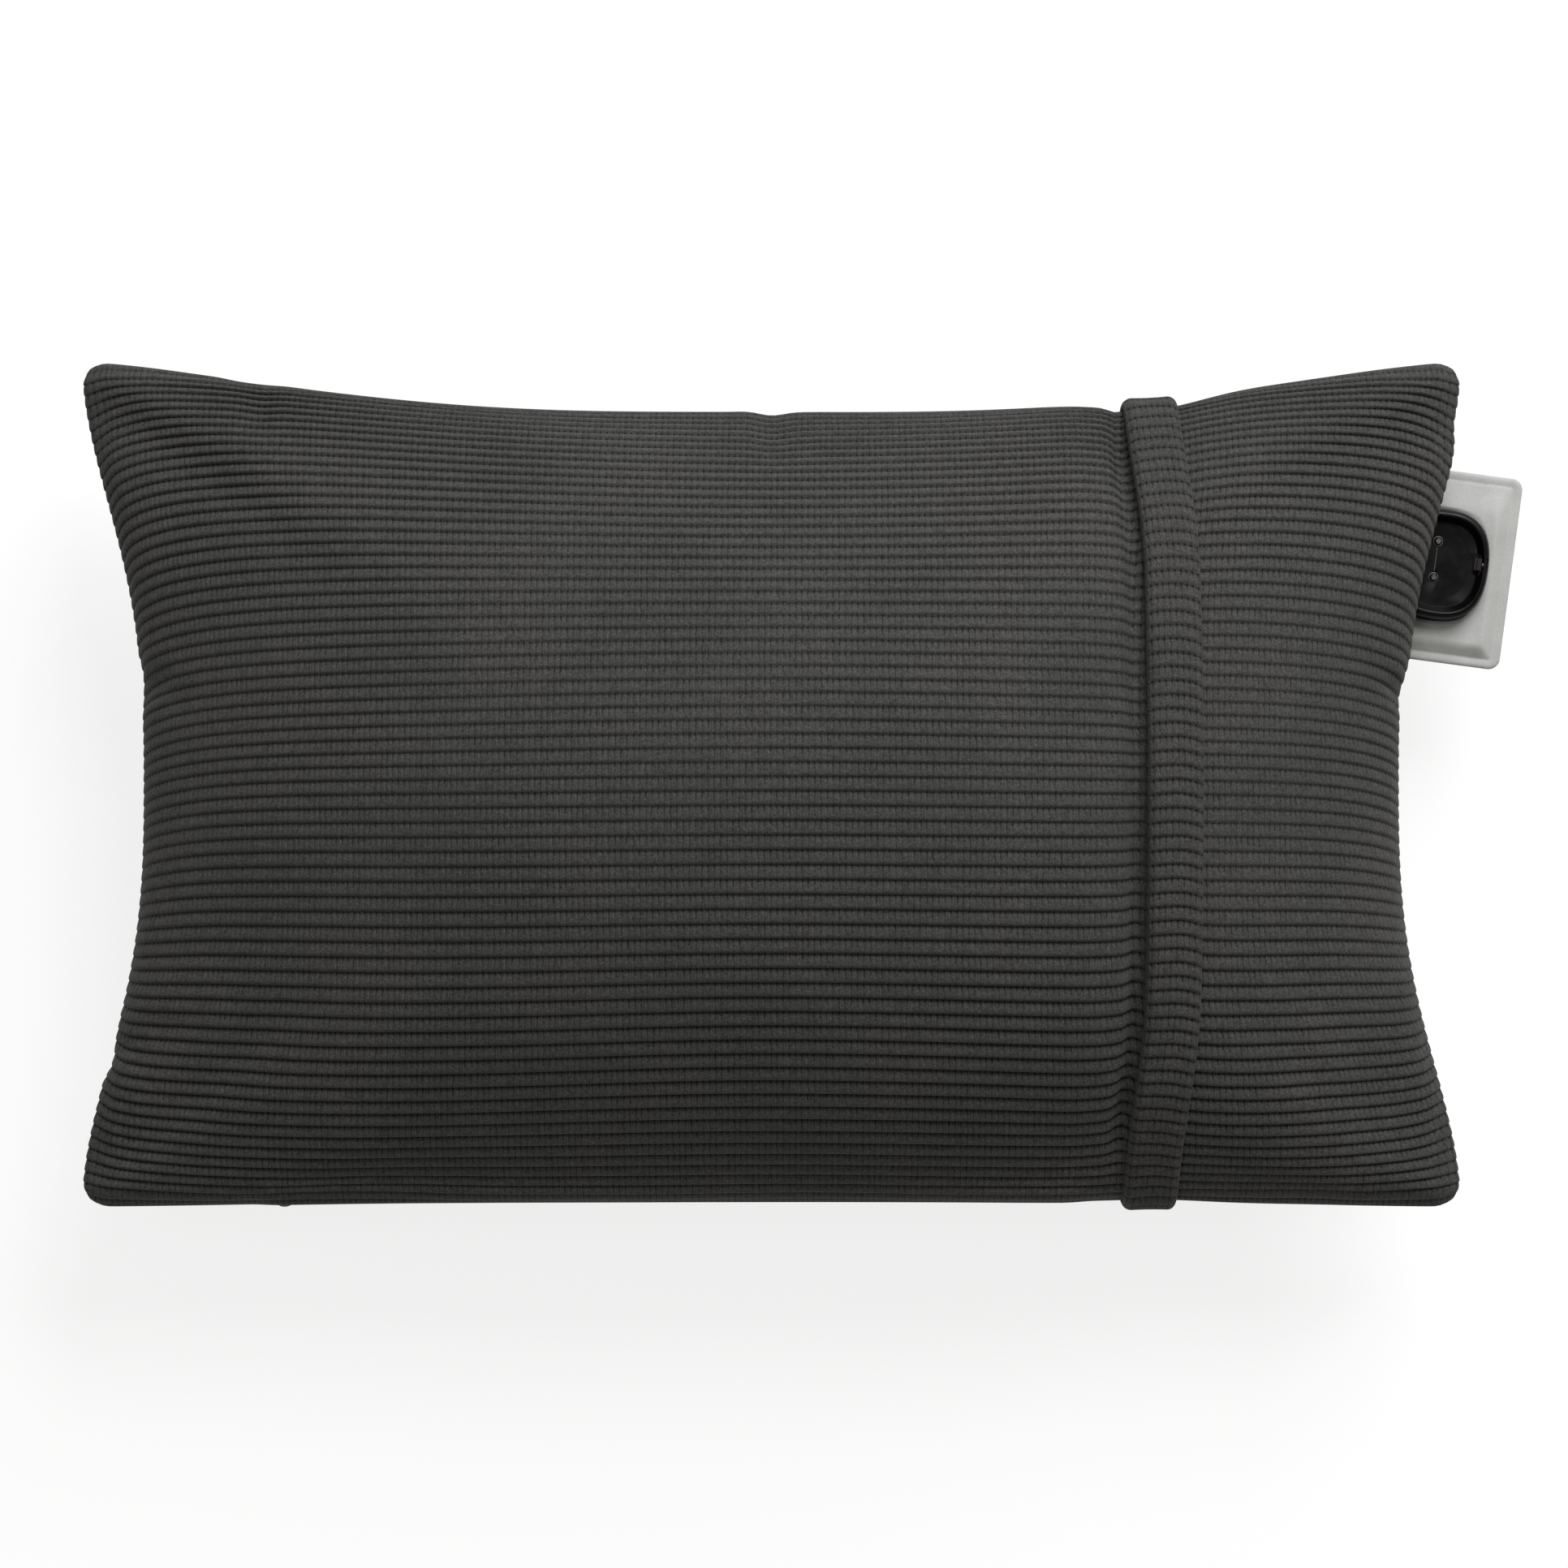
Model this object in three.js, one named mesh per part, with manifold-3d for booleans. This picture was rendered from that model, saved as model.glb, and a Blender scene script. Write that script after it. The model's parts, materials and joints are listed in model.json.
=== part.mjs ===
import * as THREE from 'three';
import { mergeVertices } from 'three/addons/utils/BufferGeometryUtils.js';
import Module from 'manifold-3d';

// A battery-heated lumbar cushion: a rib-knit cover with a loop band round it and a zip in its
// lower seam, a filled inner casing with a heating mat, and a padded side tab that carries the
// dock for a clip-on battery. Millimetres, +Z up. The cushion lies on its back panel: +X runs
// along its length, +Y towards its upper edge, +Z out of its front panel, and the origin is the
// middle of the flat patch that it rests on.

const wasm = await Module();
wasm.setup();

// Cushion body
const HALF_LENGTH = 300;
const HALF_WIDTH = 185;
const SIDE_HOLLOW = 26;
const UPPER_HOLLOW = 23;
const LOWER_HOLLOW = 3;
const HOLLOW_POWER = 2.2;
const SEAM_Z = 78;
const SEAM_GAP = 0.2;
const FRONT_CROWN = 95;
const BACK_CROWN = 85;
const FULLNESS = 0.7;
const LENGTH_STEPS = 16;
const WIDTH_STEPS = 12;

// Layers, as depths below the cover's outer face
const COVER_THICK = 2.5;
const CASING_TOP = 3.5;
const CASING_THICK = 1.5;
const WADDING_TOP = 6;
const WADDING_THICK = 5;
const WIRE_DEPTH = 14.4;
const MAT_TOP = 17.4;
const MAT_THICK = 1.4;
const CORE_TOP = 20;
const CORE_BACK = 6;
const EDGE_SLACK = 8;
const WADDING_CELLS = [5, 4];
const MAT_CELLS = [4, 3];

// Heating wire and lead
const WIRE_RADIUS = 0.9;
const WIRE_PASSES = 6;
const WIRE_SIDE = 0.64;
const WIRE_SPREAD = 0.6;
const LEAD_RADIUS = 1;
const LEAD_CLEARANCE = 0.6;
const SPLICE_RADIUS = 3;
const SPLICE_LENGTH = 20;
const CUTOUT_SIZE = [14, 7, 3.2];

// Loop band
const BAND_X = 166;
const BAND_WIDTH = 24;
const BAND_GAP = 2.6;
const BAND_THICK = 3.4;

// Zip in the lower seam
const ZIP_Y = -177.5;
const ZIP_START = -228;
const ZIP_END = 142;
const ZIP_HALF_SLIT = 6.5;
const COIL_START = -206.5;
const COIL_END = 132;
const COIL_INNER = 0.8;
const COIL_OUTER = 2.8;
const COIL_THICK = 2.4;
const TAPE_THICK = 0.7;
const SLIDER_START = -218;
const SLIDER_LENGTH = 11;
const SLIDER_HALF = 4.6;
const SLIDER_DEPTH = 7.4;
const PLATE_THICK = 1.2;
const PULL_LENGTH = 22;

// Side tab, in its own axes: u out of the cushion from the fold line, v along the seam
const TAB_TILT = THREE.MathUtils.degToRad(7.6);
const TAB_FOLD = new THREE.Vector3(266.2, 99.8, 0);
const TAB_ROOT = -4;
const TAB_REACH = 60;
const TAB_HALF = 42.3;
const TAB_CORNER = 5;
const TAB_MIDDLE = 63.5;
const TAB_HALF_THICK = 4;
const TAB_FLANGE = 4.5;
const FLANGE_THICK = 1;
const FABRIC_THICK = 0.8;
const GAP = 0.3;

// Battery dock on the tab
const DOCK_U = 27;
const DOCK_HALF_U = 21;
const DOCK_HALF_V = 24;
const DOCK_POWER = 3.2;
const DOCK_BASE = 64.3;
const DOCK_CEILING = 70.3;
const DOCK_FLOOR = 71.5;
const DOCK_RIM = 77;
const DOCK_WALL = 0.8;
const CONTACT_U = -2;
const CONTACT_V = 2;
const CONTACT_SPACING = 8;
const CHANNEL_HALF = 3.1;
const CHANNEL_FLOOR = 73.4;
const CHANNEL_END = 20;
const SCREW_U = 14.6;
const SCREW_V = 17.6;
const PLATE_BASE = 62.6;
const PLATE_TOP = 64;
const BOARD_BASE = 64.6;
const BOARD_TOP = 65.8;
const LEAD_V = -6;
const LEAD_Z = 65.35;

const FINISHES = {
  ribKnit: { color: 0x3b3b39, roughness: 0.95 },
  lining: { color: 0xb9b8b3, roughness: 0.9 },
  wadding: { color: 0xeeeeea, roughness: 1 },
  mat: { color: 0x8f8f8b, roughness: 0.9 },
  wire: { color: 0x7a2f24, roughness: 0.5 },
  lead: { color: 0x1c1c1c, roughness: 0.6 },
  foam: { color: 0xd9d6c8, roughness: 1 },
  dockPlastic: { color: 0x0c0d0e, roughness: 0.25 },
  innerPlastic: { color: 0x1a1a1b, roughness: 0.5 },
  board: { color: 0x1f5a34, roughness: 0.5 },
  contact: { color: 0xcaa45a, roughness: 0.25, metalness: 1 },
  steel: { color: 0xa8aaac, roughness: 0.35, metalness: 1 },
  latch: { color: 0x4a2a24, roughness: 0.4 },
  zipTape: { color: 0x242424, roughness: 0.9 },
  zipCoil: { color: 0x1d1d1d, roughness: 0.5 },
  zipMetal: { color: 0x2b2b2c, roughness: 0.35, metalness: 1 },
};

function piece(name, geometry, finish) {
  const mesh = new THREE.Mesh(geometry, new THREE.MeshStandardMaterial(FINISHES[finish]));
  mesh.name = name;
  return mesh;
}

// Booleans

function welded(geometry) {
  const plain = geometry.clone();
  plain.deleteAttribute('normal');
  plain.deleteAttribute('uv');
  return mergeVertices(plain, 1e-4);
}

function solidOf(geometry) {
  const merged = welded(geometry);
  const vertProperties = new Float32Array(merged.attributes.position.array);
  const triVerts = new Uint32Array(merged.index.array);
  return new wasm.Manifold(new wasm.Mesh({ numProp: 3, vertProperties, triVerts }));
}

function geometryOf(solid) {
  const mesh = solid.getMesh();
  const geometry = new THREE.BufferGeometry();
  geometry.setAttribute('position', new THREE.Float32BufferAttribute(mesh.vertProperties, 3));
  geometry.setIndex([...mesh.triVerts]);
  geometry.computeVertexNormals();
  return geometry;
}

function join(...geometries) {
  return geometryOf(geometries.map(solidOf).reduce((whole, next) => whole.add(next)));
}

function cut(body, ...tools) {
  return geometryOf(tools.map(solidOf).reduce((left, tool) => left.subtract(tool), solidOf(body)));
}

// Plain shapes

function box([x0, y0, z0], [x1, y1, z1]) {
  const geometry = new THREE.BoxGeometry(x1 - x0, y1 - y0, z1 - z0);
  return geometry.translate((x0 + x1) / 2, (y0 + y1) / 2, (z0 + z1) / 2);
}

// A cylinder or ring along +Z from a profile of [radius, height] points, closed on the axis
function turned(profile, u, v, segments = 20) {
  const points = profile.map(([radius, height]) => new THREE.Vector2(radius, height));
  return new THREE.LatheGeometry(points, segments).rotateX(Math.PI / 2).translate(u, v, 0);
}

function cylinder(radius, low, high, u, v) {
  return turned([[0, low], [radius, low], [radius, high], [0, high]], u, v);
}

function ring(inner, outer, low, high, u, v) {
  const profile = [[inner, low], [outer, low], [outer, high], [inner, high], [inner, low]];
  return turned(profile, u, v, 16);
}

// A flat plate in the tab's plane, square at the fold and round at its two outer corners
function tabPlate(inset, low, high, left = TAB_ROOT) {
  const right = TAB_REACH - inset;
  const half = TAB_HALF - inset;
  const radius = Math.max(TAB_CORNER - inset / 2, 1.5);
  const outline = new THREE.Shape();
  outline.moveTo(left, -half);
  outline.lineTo(right - radius, -half);
  outline.absarc(right - radius, -half + radius, radius, -Math.PI / 2, 0);
  outline.lineTo(right, half - radius);
  outline.absarc(right - radius, half - radius, radius, 0, Math.PI / 2);
  outline.lineTo(left, half);
  const options = { depth: high - low, bevelEnabled: false, curveSegments: 5 };
  return new THREE.ExtrudeGeometry(outline, options).translate(0, 0, low);
}

// A shape with the dock's rounded-square plan, from a profile of [share of full size, height]
function dockForm(profile, segments = 40) {
  const geometry = turned(profile, 0, 0, segments);
  const position = geometry.attributes.position;
  for (let i = 0; i < position.count; i += 1) {
    const x = position.getX(i);
    const y = position.getY(i);
    const size = Math.hypot(x, y) || 1;
    const spread = (Math.abs(x / size) ** DOCK_POWER + Math.abs(y / size) ** DOCK_POWER) ** (-1 / DOCK_POWER);
    position.setXY(i, DOCK_U + x * spread * DOCK_HALF_U, y * spread * DOCK_HALF_V);
  }
  return geometry;
}

function tube(points, radius, steps, sides = 8) {
  const section = new THREE.Shape();
  for (let i = 0; i < sides; i += 1) {
    const angle = (2 * Math.PI * i) / sides;
    const [x, y] = [radius * Math.cos(angle), radius * Math.sin(angle)];
    if (i === 0) section.moveTo(x, y);
    else section.lineTo(x, y);
  }
  const extrudePath = new THREE.CatmullRomCurve3(points, false, 'centripetal');
  return new THREE.ExtrudeGeometry(section, { steps, bevelEnabled: false, extrudePath });
}

// Cushion panels: s runs from -1 to 1 along the length and t from -1 to 1 across the width

function panelPoint(side, s, t, inset, drop, gap = SEAM_GAP) {
  const hollow = t > 0 ? UPPER_HOLLOW : LOWER_HOLLOW;
  const halfLong = HALF_LENGTH - SIDE_HOLLOW * (1 - t * t) - inset;
  const halfWide = HALF_WIDTH - hollow * (1 - Math.abs(s) ** HOLLOW_POWER) - inset;
  const rise = Math.max(0, (1 - s * s) * (1 - t * t)) ** FULLNESS;
  const front = SEAM_Z + gap + (FRONT_CROWN - drop) * rise;
  const back = Math.max(drop, SEAM_Z - gap - (BACK_CROWN - drop) * rise);
  return new THREE.Vector3(s * halfLong, t * halfWide, side > 0 ? front : back);
}

function panelGrid(side, inset, drop, [cellsLong, cellsWide], gap = SEAM_GAP) {
  const rows = [];
  for (let j = -cellsWide; j <= cellsWide; j += 1) {
    const t = Math.sin((Math.PI * j) / WIDTH_STEPS);
    const row = [];
    for (let i = -cellsLong; i <= cellsLong; i += 1) {
      const s = Math.sin((Math.PI * i) / LENGTH_STEPS);
      row.push(panelPoint(side, s, t, inset, drop, gap));
    }
    rows.push(row);
  }
  return rows;
}

const WHOLE_PANEL = [LENGTH_STEPS / 2, WIDTH_STEPS / 2];

// Closes two grids of the same size into one body, the upper one facing +Z
function between(upper, lower) {
  const corners = [];
  const quad = (a, b, c, d) => corners.push(a, b, c, a, c, d);
  const last = upper.length - 1;
  const end = upper[0].length - 1;
  for (let j = 0; j < last; j += 1) {
    for (let i = 0; i < end; i += 1) {
      quad(upper[j][i], upper[j][i + 1], upper[j + 1][i + 1], upper[j + 1][i]);
      quad(lower[j][i], lower[j + 1][i], lower[j + 1][i + 1], lower[j][i + 1]);
    }
    quad(upper[j][end], lower[j][end], lower[j + 1][end], upper[j + 1][end]);
    quad(upper[j][0], upper[j + 1][0], lower[j + 1][0], lower[j][0]);
  }
  for (let i = 0; i < end; i += 1) {
    quad(upper[0][i], lower[0][i], lower[0][i + 1], upper[0][i + 1]);
    quad(upper[last][i], upper[last][i + 1], lower[last][i + 1], lower[last][i]);
  }
  const geometry = new THREE.BufferGeometry().setFromPoints(corners);
  return geometryOf(solidOf(geometry));
}

function panelShell(side, top, thick, inset, cells = WHOLE_PANEL) {
  const outer = panelGrid(side, inset, top, cells);
  const inner = panelGrid(side, inset + thick, top + thick, cells);
  return side > 0 ? between(outer, inner) : between(inner, outer);
}

// Space that the tab and dock need in the back half, down to their lowest swing
function tabMouth() {
  const outline = new THREE.Shape();
  outline.moveTo(-9, 79);
  outline.lineTo(-9, 56);
  outline.lineTo(45, 40);
  outline.lineTo(45, 79);
  const half = TAB_HALF + 3.5;
  const geometry = new THREE.ExtrudeGeometry(outline, { depth: 2 * half, bevelEnabled: false });
  geometry.rotateX(Math.PI / 2).translate(0, half, 0);
  return geometry.applyMatrix4(tabMatrix());
}

function tabMatrix() {
  const matrix = new THREE.Matrix4().makeRotationZ(-TAB_TILT);
  return matrix.setPosition(TAB_FOLD);
}

function zipSlit() {
  const low = [ZIP_START, -HALF_WIDTH - 5, SEAM_Z - ZIP_HALF_SLIT];
  return box(low, [ZIP_END, ZIP_Y + 8, SEAM_Z + ZIP_HALF_SLIT]);
}

function cover() {
  const front = panelShell(1, 0, COVER_THICK, 0);
  const back = panelShell(-1, 0, COVER_THICK, 0);
  return [
    piece('cover_front', cut(front, zipSlit()), 'ribKnit'),
    piece('cover_back', cut(back, zipSlit(), tabMouth()), 'ribKnit'),
  ];
}

function loopBand() {
  const edge = (x, grow) => {
    const points = [];
    for (let k = 0; k < 2 * WIDTH_STEPS; k += 1) {
      const turn = Math.PI * (k / WIDTH_STEPS - 0.5);
      const t = Math.sin(turn);
      const halfLong = HALF_LENGTH - SIDE_HOLLOW * (1 - t * t) + grow;
      const side = k <= WIDTH_STEPS ? 1 : -1;
      points.push(panelPoint(side, x / halfLong, t, -grow, -grow, 0));
    }
    return points;
  };
  const [left, right] = [BAND_X - BAND_WIDTH / 2, BAND_X + BAND_WIDTH / 2];
  const outside = BAND_GAP + BAND_THICK;
  const loops = [edge(left, outside), edge(right, outside), edge(right, BAND_GAP), edge(left, BAND_GAP)];
  const corners = [];
  for (let k = 0; k < loops[0].length; k += 1) {
    const next = (k + 1) % loops[0].length;
    for (let n = 0; n < 4; n += 1) {
      const [a, b] = [loops[n], loops[(n + 1) % 4]];
      corners.push(a[k], b[k], b[next], a[k], b[next], a[next]);
    }
  }
  return piece('carry_band', new THREE.BufferGeometry().setFromPoints(corners), 'ribKnit');
}

// Filling and heating

function wireLayer(s, t) {
  return panelPoint(1, s, t, WIRE_DEPTH + EDGE_SLACK, WIRE_DEPTH);
}

// Runs to and fro along the cushion, then back beside the mat to where it began
function serpentine() {
  const pitch = (2 * WIRE_SPREAD) / (WIRE_PASSES - 1);
  const points = [];
  for (let pass = 0; pass < WIRE_PASSES; pass += 1) {
    const t = WIRE_SPREAD - pass * pitch;
    const way = pass % 2 === 0 ? -1 : 1;
    for (let k = -4; k <= 4; k += 1) points.push(wireLayer((way * WIRE_SIDE * k) / 4, t));
    const bend = way * (WIRE_SIDE + 0.05);
    if (pass < WIRE_PASSES - 1) {
      points.push(wireLayer(bend, t - pitch * 0.25), wireLayer(bend, t - pitch * 0.75));
    }
  }
  const edge = WIRE_SIDE + 0.12;
  for (let k = 0; k <= 4; k += 1) points.push(wireLayer(edge, -WIRE_SPREAD + 0.08 + k * 0.24));
  return points;
}

function leadRoute() {
  const inTab = [
    new THREE.Vector3(DOCK_U - 13.4, LEAD_V, LEAD_Z),
    new THREE.Vector3(DOCK_U - 22, LEAD_V, LEAD_Z),
    new THREE.Vector3(TAB_ROOT + 5, LEAD_V, 64.2),
    new THREE.Vector3(TAB_ROOT, LEAD_V, TAB_MIDDLE),
    new THREE.Vector3(TAB_ROOT - 6, LEAD_V, TAB_MIDDLE),
  ];
  inTab.forEach((point) => point.applyMatrix4(tabMatrix()));
  return [...inTab, new THREE.Vector3(242, 93, 66), new THREE.Vector3(228, 90, 73)];
}

const SPLICE_FROM = new THREE.Vector3(227.7, 89.9, 73.2);
const JUNCTION = wireLayer(0.8, 0.55);
const SPLICE_TOWARDS = JUNCTION.clone().sub(SPLICE_FROM).normalize();

function filling() {
  const spliceEnd = SPLICE_FROM.clone().addScaledVector(SPLICE_TOWARDS, SPLICE_LENGTH);
  const sideways = new THREE.Vector3(0, 1, 0).cross(SPLICE_TOWARDS).cross(SPLICE_TOWARDS).normalize();
  const wire = serpentine();
  const outOfSplice = (offset, ahead) => {
    const start = spliceEnd.clone().addScaledVector(SPLICE_TOWARDS, ahead);
    return start.addScaledVector(sideways, offset);
  };
  const toLayer = JUNCTION.distanceTo(spliceEnd);
  const leads = [outOfSplice(-1.4, GAP), outOfSplice(-1.4, toLayer - 5), wireLayer(0.74, 0.59)];
  const returns = [outOfSplice(1.4, toLayer - 5), outOfSplice(1.4, GAP)];
  const wirePath = [...leads, ...wire, ...returns];
  const channelEnd = outOfSplice(0, toLayer + 8);
  const channel = tube([...leadRoute(), spliceEnd, channelEnd], SPLICE_RADIUS + 1.4, 40);
  const leadPassage = tube(leadRoute(), LEAD_RADIUS + LEAD_CLEARANCE, 40);
  const spliceLine = [SPLICE_FROM.clone().addScaledVector(SPLICE_TOWARDS, 3 * GAP), spliceEnd];
  const coreTop = panelGrid(1, CORE_TOP + EDGE_SLACK, CORE_TOP, WHOLE_PANEL, 0);
  const coreBottom = panelGrid(-1, CORE_TOP + EDGE_SLACK, CORE_BACK, WHOLE_PANEL, 0);
  const core = between(coreTop, coreBottom);
  const casing = (side) => panelShell(side, CASING_TOP, CASING_THICK, CASING_TOP + EDGE_SLACK);
  const layer = (top, thick, cells) => panelShell(1, top, thick, top + EDGE_SLACK, cells);
  const [cutoutLong, cutoutWide, cutoutThick] = CUTOUT_SIZE;
  const cutoutBase = SEAM_Z + SEAM_GAP + FRONT_CROWN - MAT_TOP + GAP;
  const cutoutLow = [-cutoutLong / 2, -cutoutWide / 2, cutoutBase];
  const cutoutHigh = [cutoutLong / 2, cutoutWide / 2, cutoutBase + cutoutThick];
  return [
    piece('casing_front', casing(1), 'lining'),
    piece('casing_back', cut(casing(-1), tabMouth(), leadPassage), 'lining'),
    piece('wadding_front', layer(WADDING_TOP, WADDING_THICK, WADDING_CELLS), 'wadding'),
    piece('heating_mat', layer(MAT_TOP, MAT_THICK, MAT_CELLS), 'mat'),
    piece('heating_wire', tube(wirePath, WIRE_RADIUS, 190, 6), 'wire'),
    piece('thermal_cutout', box(cutoutLow, cutoutHigh), 'steel'),
    piece('lead_splice', tube(spliceLine, SPLICE_RADIUS, 2, 12), 'lead'),
    piece('lead_cable', tube(leadRoute(), LEAD_RADIUS, 30), 'lead'),
    piece('fibre_core', cut(core, tabMouth(), channel), 'wadding'),
  ];
}

// Zip: two tapes, two coil halves, two stops, and the slider with its pull

// A bar along +X whose section is a list of [y, z above the seam] points
function seamBar(section, from, to, side = 1) {
  const outline = new THREE.Shape(section.map(([y, z]) => new THREE.Vector2(y, side * z)));
  const geometry = new THREE.ExtrudeGeometry(outline, { depth: to - from, bevelEnabled: false });
  const turn = new THREE.Matrix4().set(0, 0, 1, from, 1, 0, 0, 0, 0, 1, 0, SEAM_Z, 0, 0, 0, 1);
  return geometryOf(solidOf(geometry.applyMatrix4(turn)));
}

function seamBlock([x0, y0, z0], [x1, y1, z1]) {
  return box([x0, y0, SEAM_Z + z0], [x1, y1, SEAM_Z + z1]);
}

function zip() {
  const outerFace = ZIP_Y - TAPE_THICK / 2;
  const innerFace = ZIP_Y + TAPE_THICK / 2;
  const tape = [
    [outerFace, 3.1], [innerFace, 3.1], [innerFace, 5.1], [-172.2, 5.9], [-169.2, 8.2],
    [-169.8, 8.7], [-172.6, 6.5], [outerFace, 5.6],
  ];
  const half = COIL_THICK / 2;
  const coil = [
    [ZIP_Y - half, COIL_INNER], [ZIP_Y + half, COIL_INNER],
    [ZIP_Y + half, COIL_OUTER], [ZIP_Y - half, COIL_OUTER],
  ];
  const stop = (x) => seamBlock([x, ZIP_Y - half, -COIL_OUTER], [x + 3, ZIP_Y + half, COIL_OUTER]);
  return [
    piece('zip_tape_front', seamBar(tape, ZIP_START + 2, ZIP_END - 2), 'zipTape'),
    piece('zip_tape_back', seamBar(tape, ZIP_START + 2, ZIP_END - 2, -1), 'zipTape'),
    piece('zip_coil_front', seamBar(coil, COIL_START, COIL_END), 'zipCoil'),
    piece('zip_coil_back', seamBar(coil, COIL_START, COIL_END, -1), 'zipCoil'),
    piece('zip_closed_stop', stop(SLIDER_START - 4), 'zipMetal'),
    piece('zip_open_stop', stop(COIL_END + GAP), 'zipMetal'),
    piece('zip_slider', slider(), 'zipMetal'),
    piece('zip_pull', pull(), 'zipMetal'),
  ];
}

const SLIDER_FACE = ZIP_Y - SLIDER_DEPTH / 2;
const PULL_X = SLIDER_START + SLIDER_LENGTH / 2;
const PULL_Y = SLIDER_FACE - 1.2;

function slider() {
  const end = SLIDER_START + SLIDER_LENGTH;
  const back = ZIP_Y + SLIDER_DEPTH / 2;
  const body = seamBlock([SLIDER_START, SLIDER_FACE, -SLIDER_HALF], [end, back, SLIDER_HALF]);
  const flange = 1;
  const hollow = seamBlock(
    [SLIDER_START - 1, SLIDER_FACE + PLATE_THICK, flange - SLIDER_HALF],
    [end + 1, back - PLATE_THICK, SLIDER_HALF - flange],
  );
  const tapeSlot = seamBlock([SLIDER_START - 1, ZIP_Y - 0.9, -9], [end + 1, ZIP_Y + 0.9, 9]);
  const post = seamBlock([SLIDER_START + 0.5, SLIDER_FACE + 0.5, -0.5], [SLIDER_START + 3, back - 0.5, 0.5]);
  const arch = seamBlock([PULL_X - 4, SLIDER_FACE - 3.4, -1.2], [PULL_X + 4, SLIDER_FACE + 0.5, 1.2]);
  const eye = seamBlock([PULL_X - 2.6, SLIDER_FACE - 2.3, -3], [PULL_X + 2.6, SLIDER_FACE, 3]);
  return join(cut(body, hollow, tapeSlot), post, cut(arch, eye));
}

function pull() {
  const half = 0.6;
  const rod = seamBlock([PULL_X - half, PULL_Y - half, -2.8], [PULL_X + half, PULL_Y + half, 2.8]);
  const arm = (z) => {
    return seamBlock([PULL_X - half, PULL_Y - half, z - 0.5], [PULL_X + 7, PULL_Y + half, z + 0.5]);
  };
  const plate = seamBlock([PULL_X + 6, PULL_Y - half, -3.4], [PULL_X + PULL_LENGTH, PULL_Y + half, 3.4]);
  const hole = seamBlock([PULL_X + PULL_LENGTH - 5, PULL_Y - 2, -1.4], [PULL_X + PULL_LENGTH - 2, PULL_Y + 2, 1.4]);
  return cut(join(rod, arm(2.3), arm(-2.3), plate), hole);
}

// Side tab and battery dock, in the tab's own axes

function tabPads() {
  const top = TAB_MIDDLE + TAB_HALF_THICK;
  const bottom = TAB_MIDDLE - TAB_HALF_THICK;
  const pocket = TAB_FLANGE + FABRIC_THICK;
  const inside = TAB_HALF_THICK - FABRIC_THICK;
  const half = GAP / 2 + 0.05;
  const dockHole = dockForm([[0, PLATE_BASE - GAP], [1.03, PLATE_BASE - GAP], [1.03, 80], [0, 80]]);
  const frontPocket = tabPlate(pocket, TAB_MIDDLE - 1, TAB_MIDDLE + inside, TAB_ROOT - 1);
  const backPocket = tabPlate(pocket, TAB_MIDDLE - inside, TAB_MIDDLE + 1, TAB_ROOT - 1);
  const frontFlange = tabPlate(0, TAB_MIDDLE + half, TAB_MIDDLE + half + FLANGE_THICK);
  const backFlange = tabPlate(0, TAB_MIDDLE - half - FLANGE_THICK, TAB_MIDDLE - half);
  const frontPad = tabPlate(TAB_FLANGE, TAB_MIDDLE + half, top);
  const backPad = tabPlate(TAB_FLANGE, bottom, TAB_MIDDLE - half);
  const [foamLow, foamHigh] = [TAB_MIDDLE - inside + GAP, TAB_MIDDLE + inside - GAP];
  const foam = tabPlate(pocket + GAP, foamLow, foamHigh, TAB_ROOT + 1);
  const leadChannel = box([-6, LEAD_V - 1.8, 61.9], [8, LEAD_V + 1.8, 70]);
  const leadGate = box([-6, LEAD_V - 1.8, 61.9], [-3, LEAD_V + 1.8, TAB_MIDDLE + 1.6]);
  return [
    piece('tab_front_panel', cut(join(frontFlange, frontPad), frontPocket, dockHole, leadGate), 'lining'),
    piece('tab_back_panel', cut(join(backFlange, backPad), backPocket, leadGate), 'lining'),
    piece('tab_foam', cut(foam, dockHole, leadChannel), 'foam'),
  ];
}

function rootStrip() {
  const strip = box([-8.6, -38, TAB_MIDDLE - 0.6], [-5.2, 38, TAB_MIDDLE + 0.6]);
  const gate = box([-9, LEAD_V - 2.4, TAB_MIDDLE - 1], [-5, LEAD_V + 2.4, TAB_MIDDLE + 1]);
  return [
    piece('tab_root_strip_upper', cut(strip, box([-9, -39, 60], [-5, LEAD_V + 2.4, 67])), 'lining'),
    piece('tab_root_strip_lower', cut(strip, gate, box([-9, LEAD_V, 60], [-5, 39, 67])), 'lining'),
  ];
}

function dockHousing() {
  const shell = dockForm([
    [0, DOCK_FLOOR], [0.56, DOCK_FLOOR], [0.8, 75.9], [0.83, 76.7], [0.87, DOCK_RIM],
    [0.92, 76.9], [0.97, 76.2], [1, 75], [1, DOCK_BASE], [DOCK_WALL, DOCK_BASE],
    [DOCK_WALL, DOCK_CEILING], [0, DOCK_CEILING],
  ].reverse());
  const channelLow = [DOCK_U + 10, CONTACT_V - CHANNEL_HALF, CHANNEL_FLOOR];
  const channel = box(channelLow, [DOCK_U + CHANNEL_END, CONTACT_V + CHANNEL_HALF, 80]);
  const contactHoles = contactPlaces().map((v) => cylinder(1.9, 70, 72, DOCK_U + CONTACT_U, v));
  const screwHoles = screwPlaces().map(([u, v]) => cylinder(1.3, 63, 68.8, u, v));
  const leadNotch = box([DOCK_U - 24, LEAD_V - 1.6, 63], [DOCK_U - 14, LEAD_V + 1.6, LEAD_Z + 1.6]);
  return piece('dock_housing', cut(shell, channel, ...contactHoles, ...screwHoles, leadNotch), 'dockPlastic');
}

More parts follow.
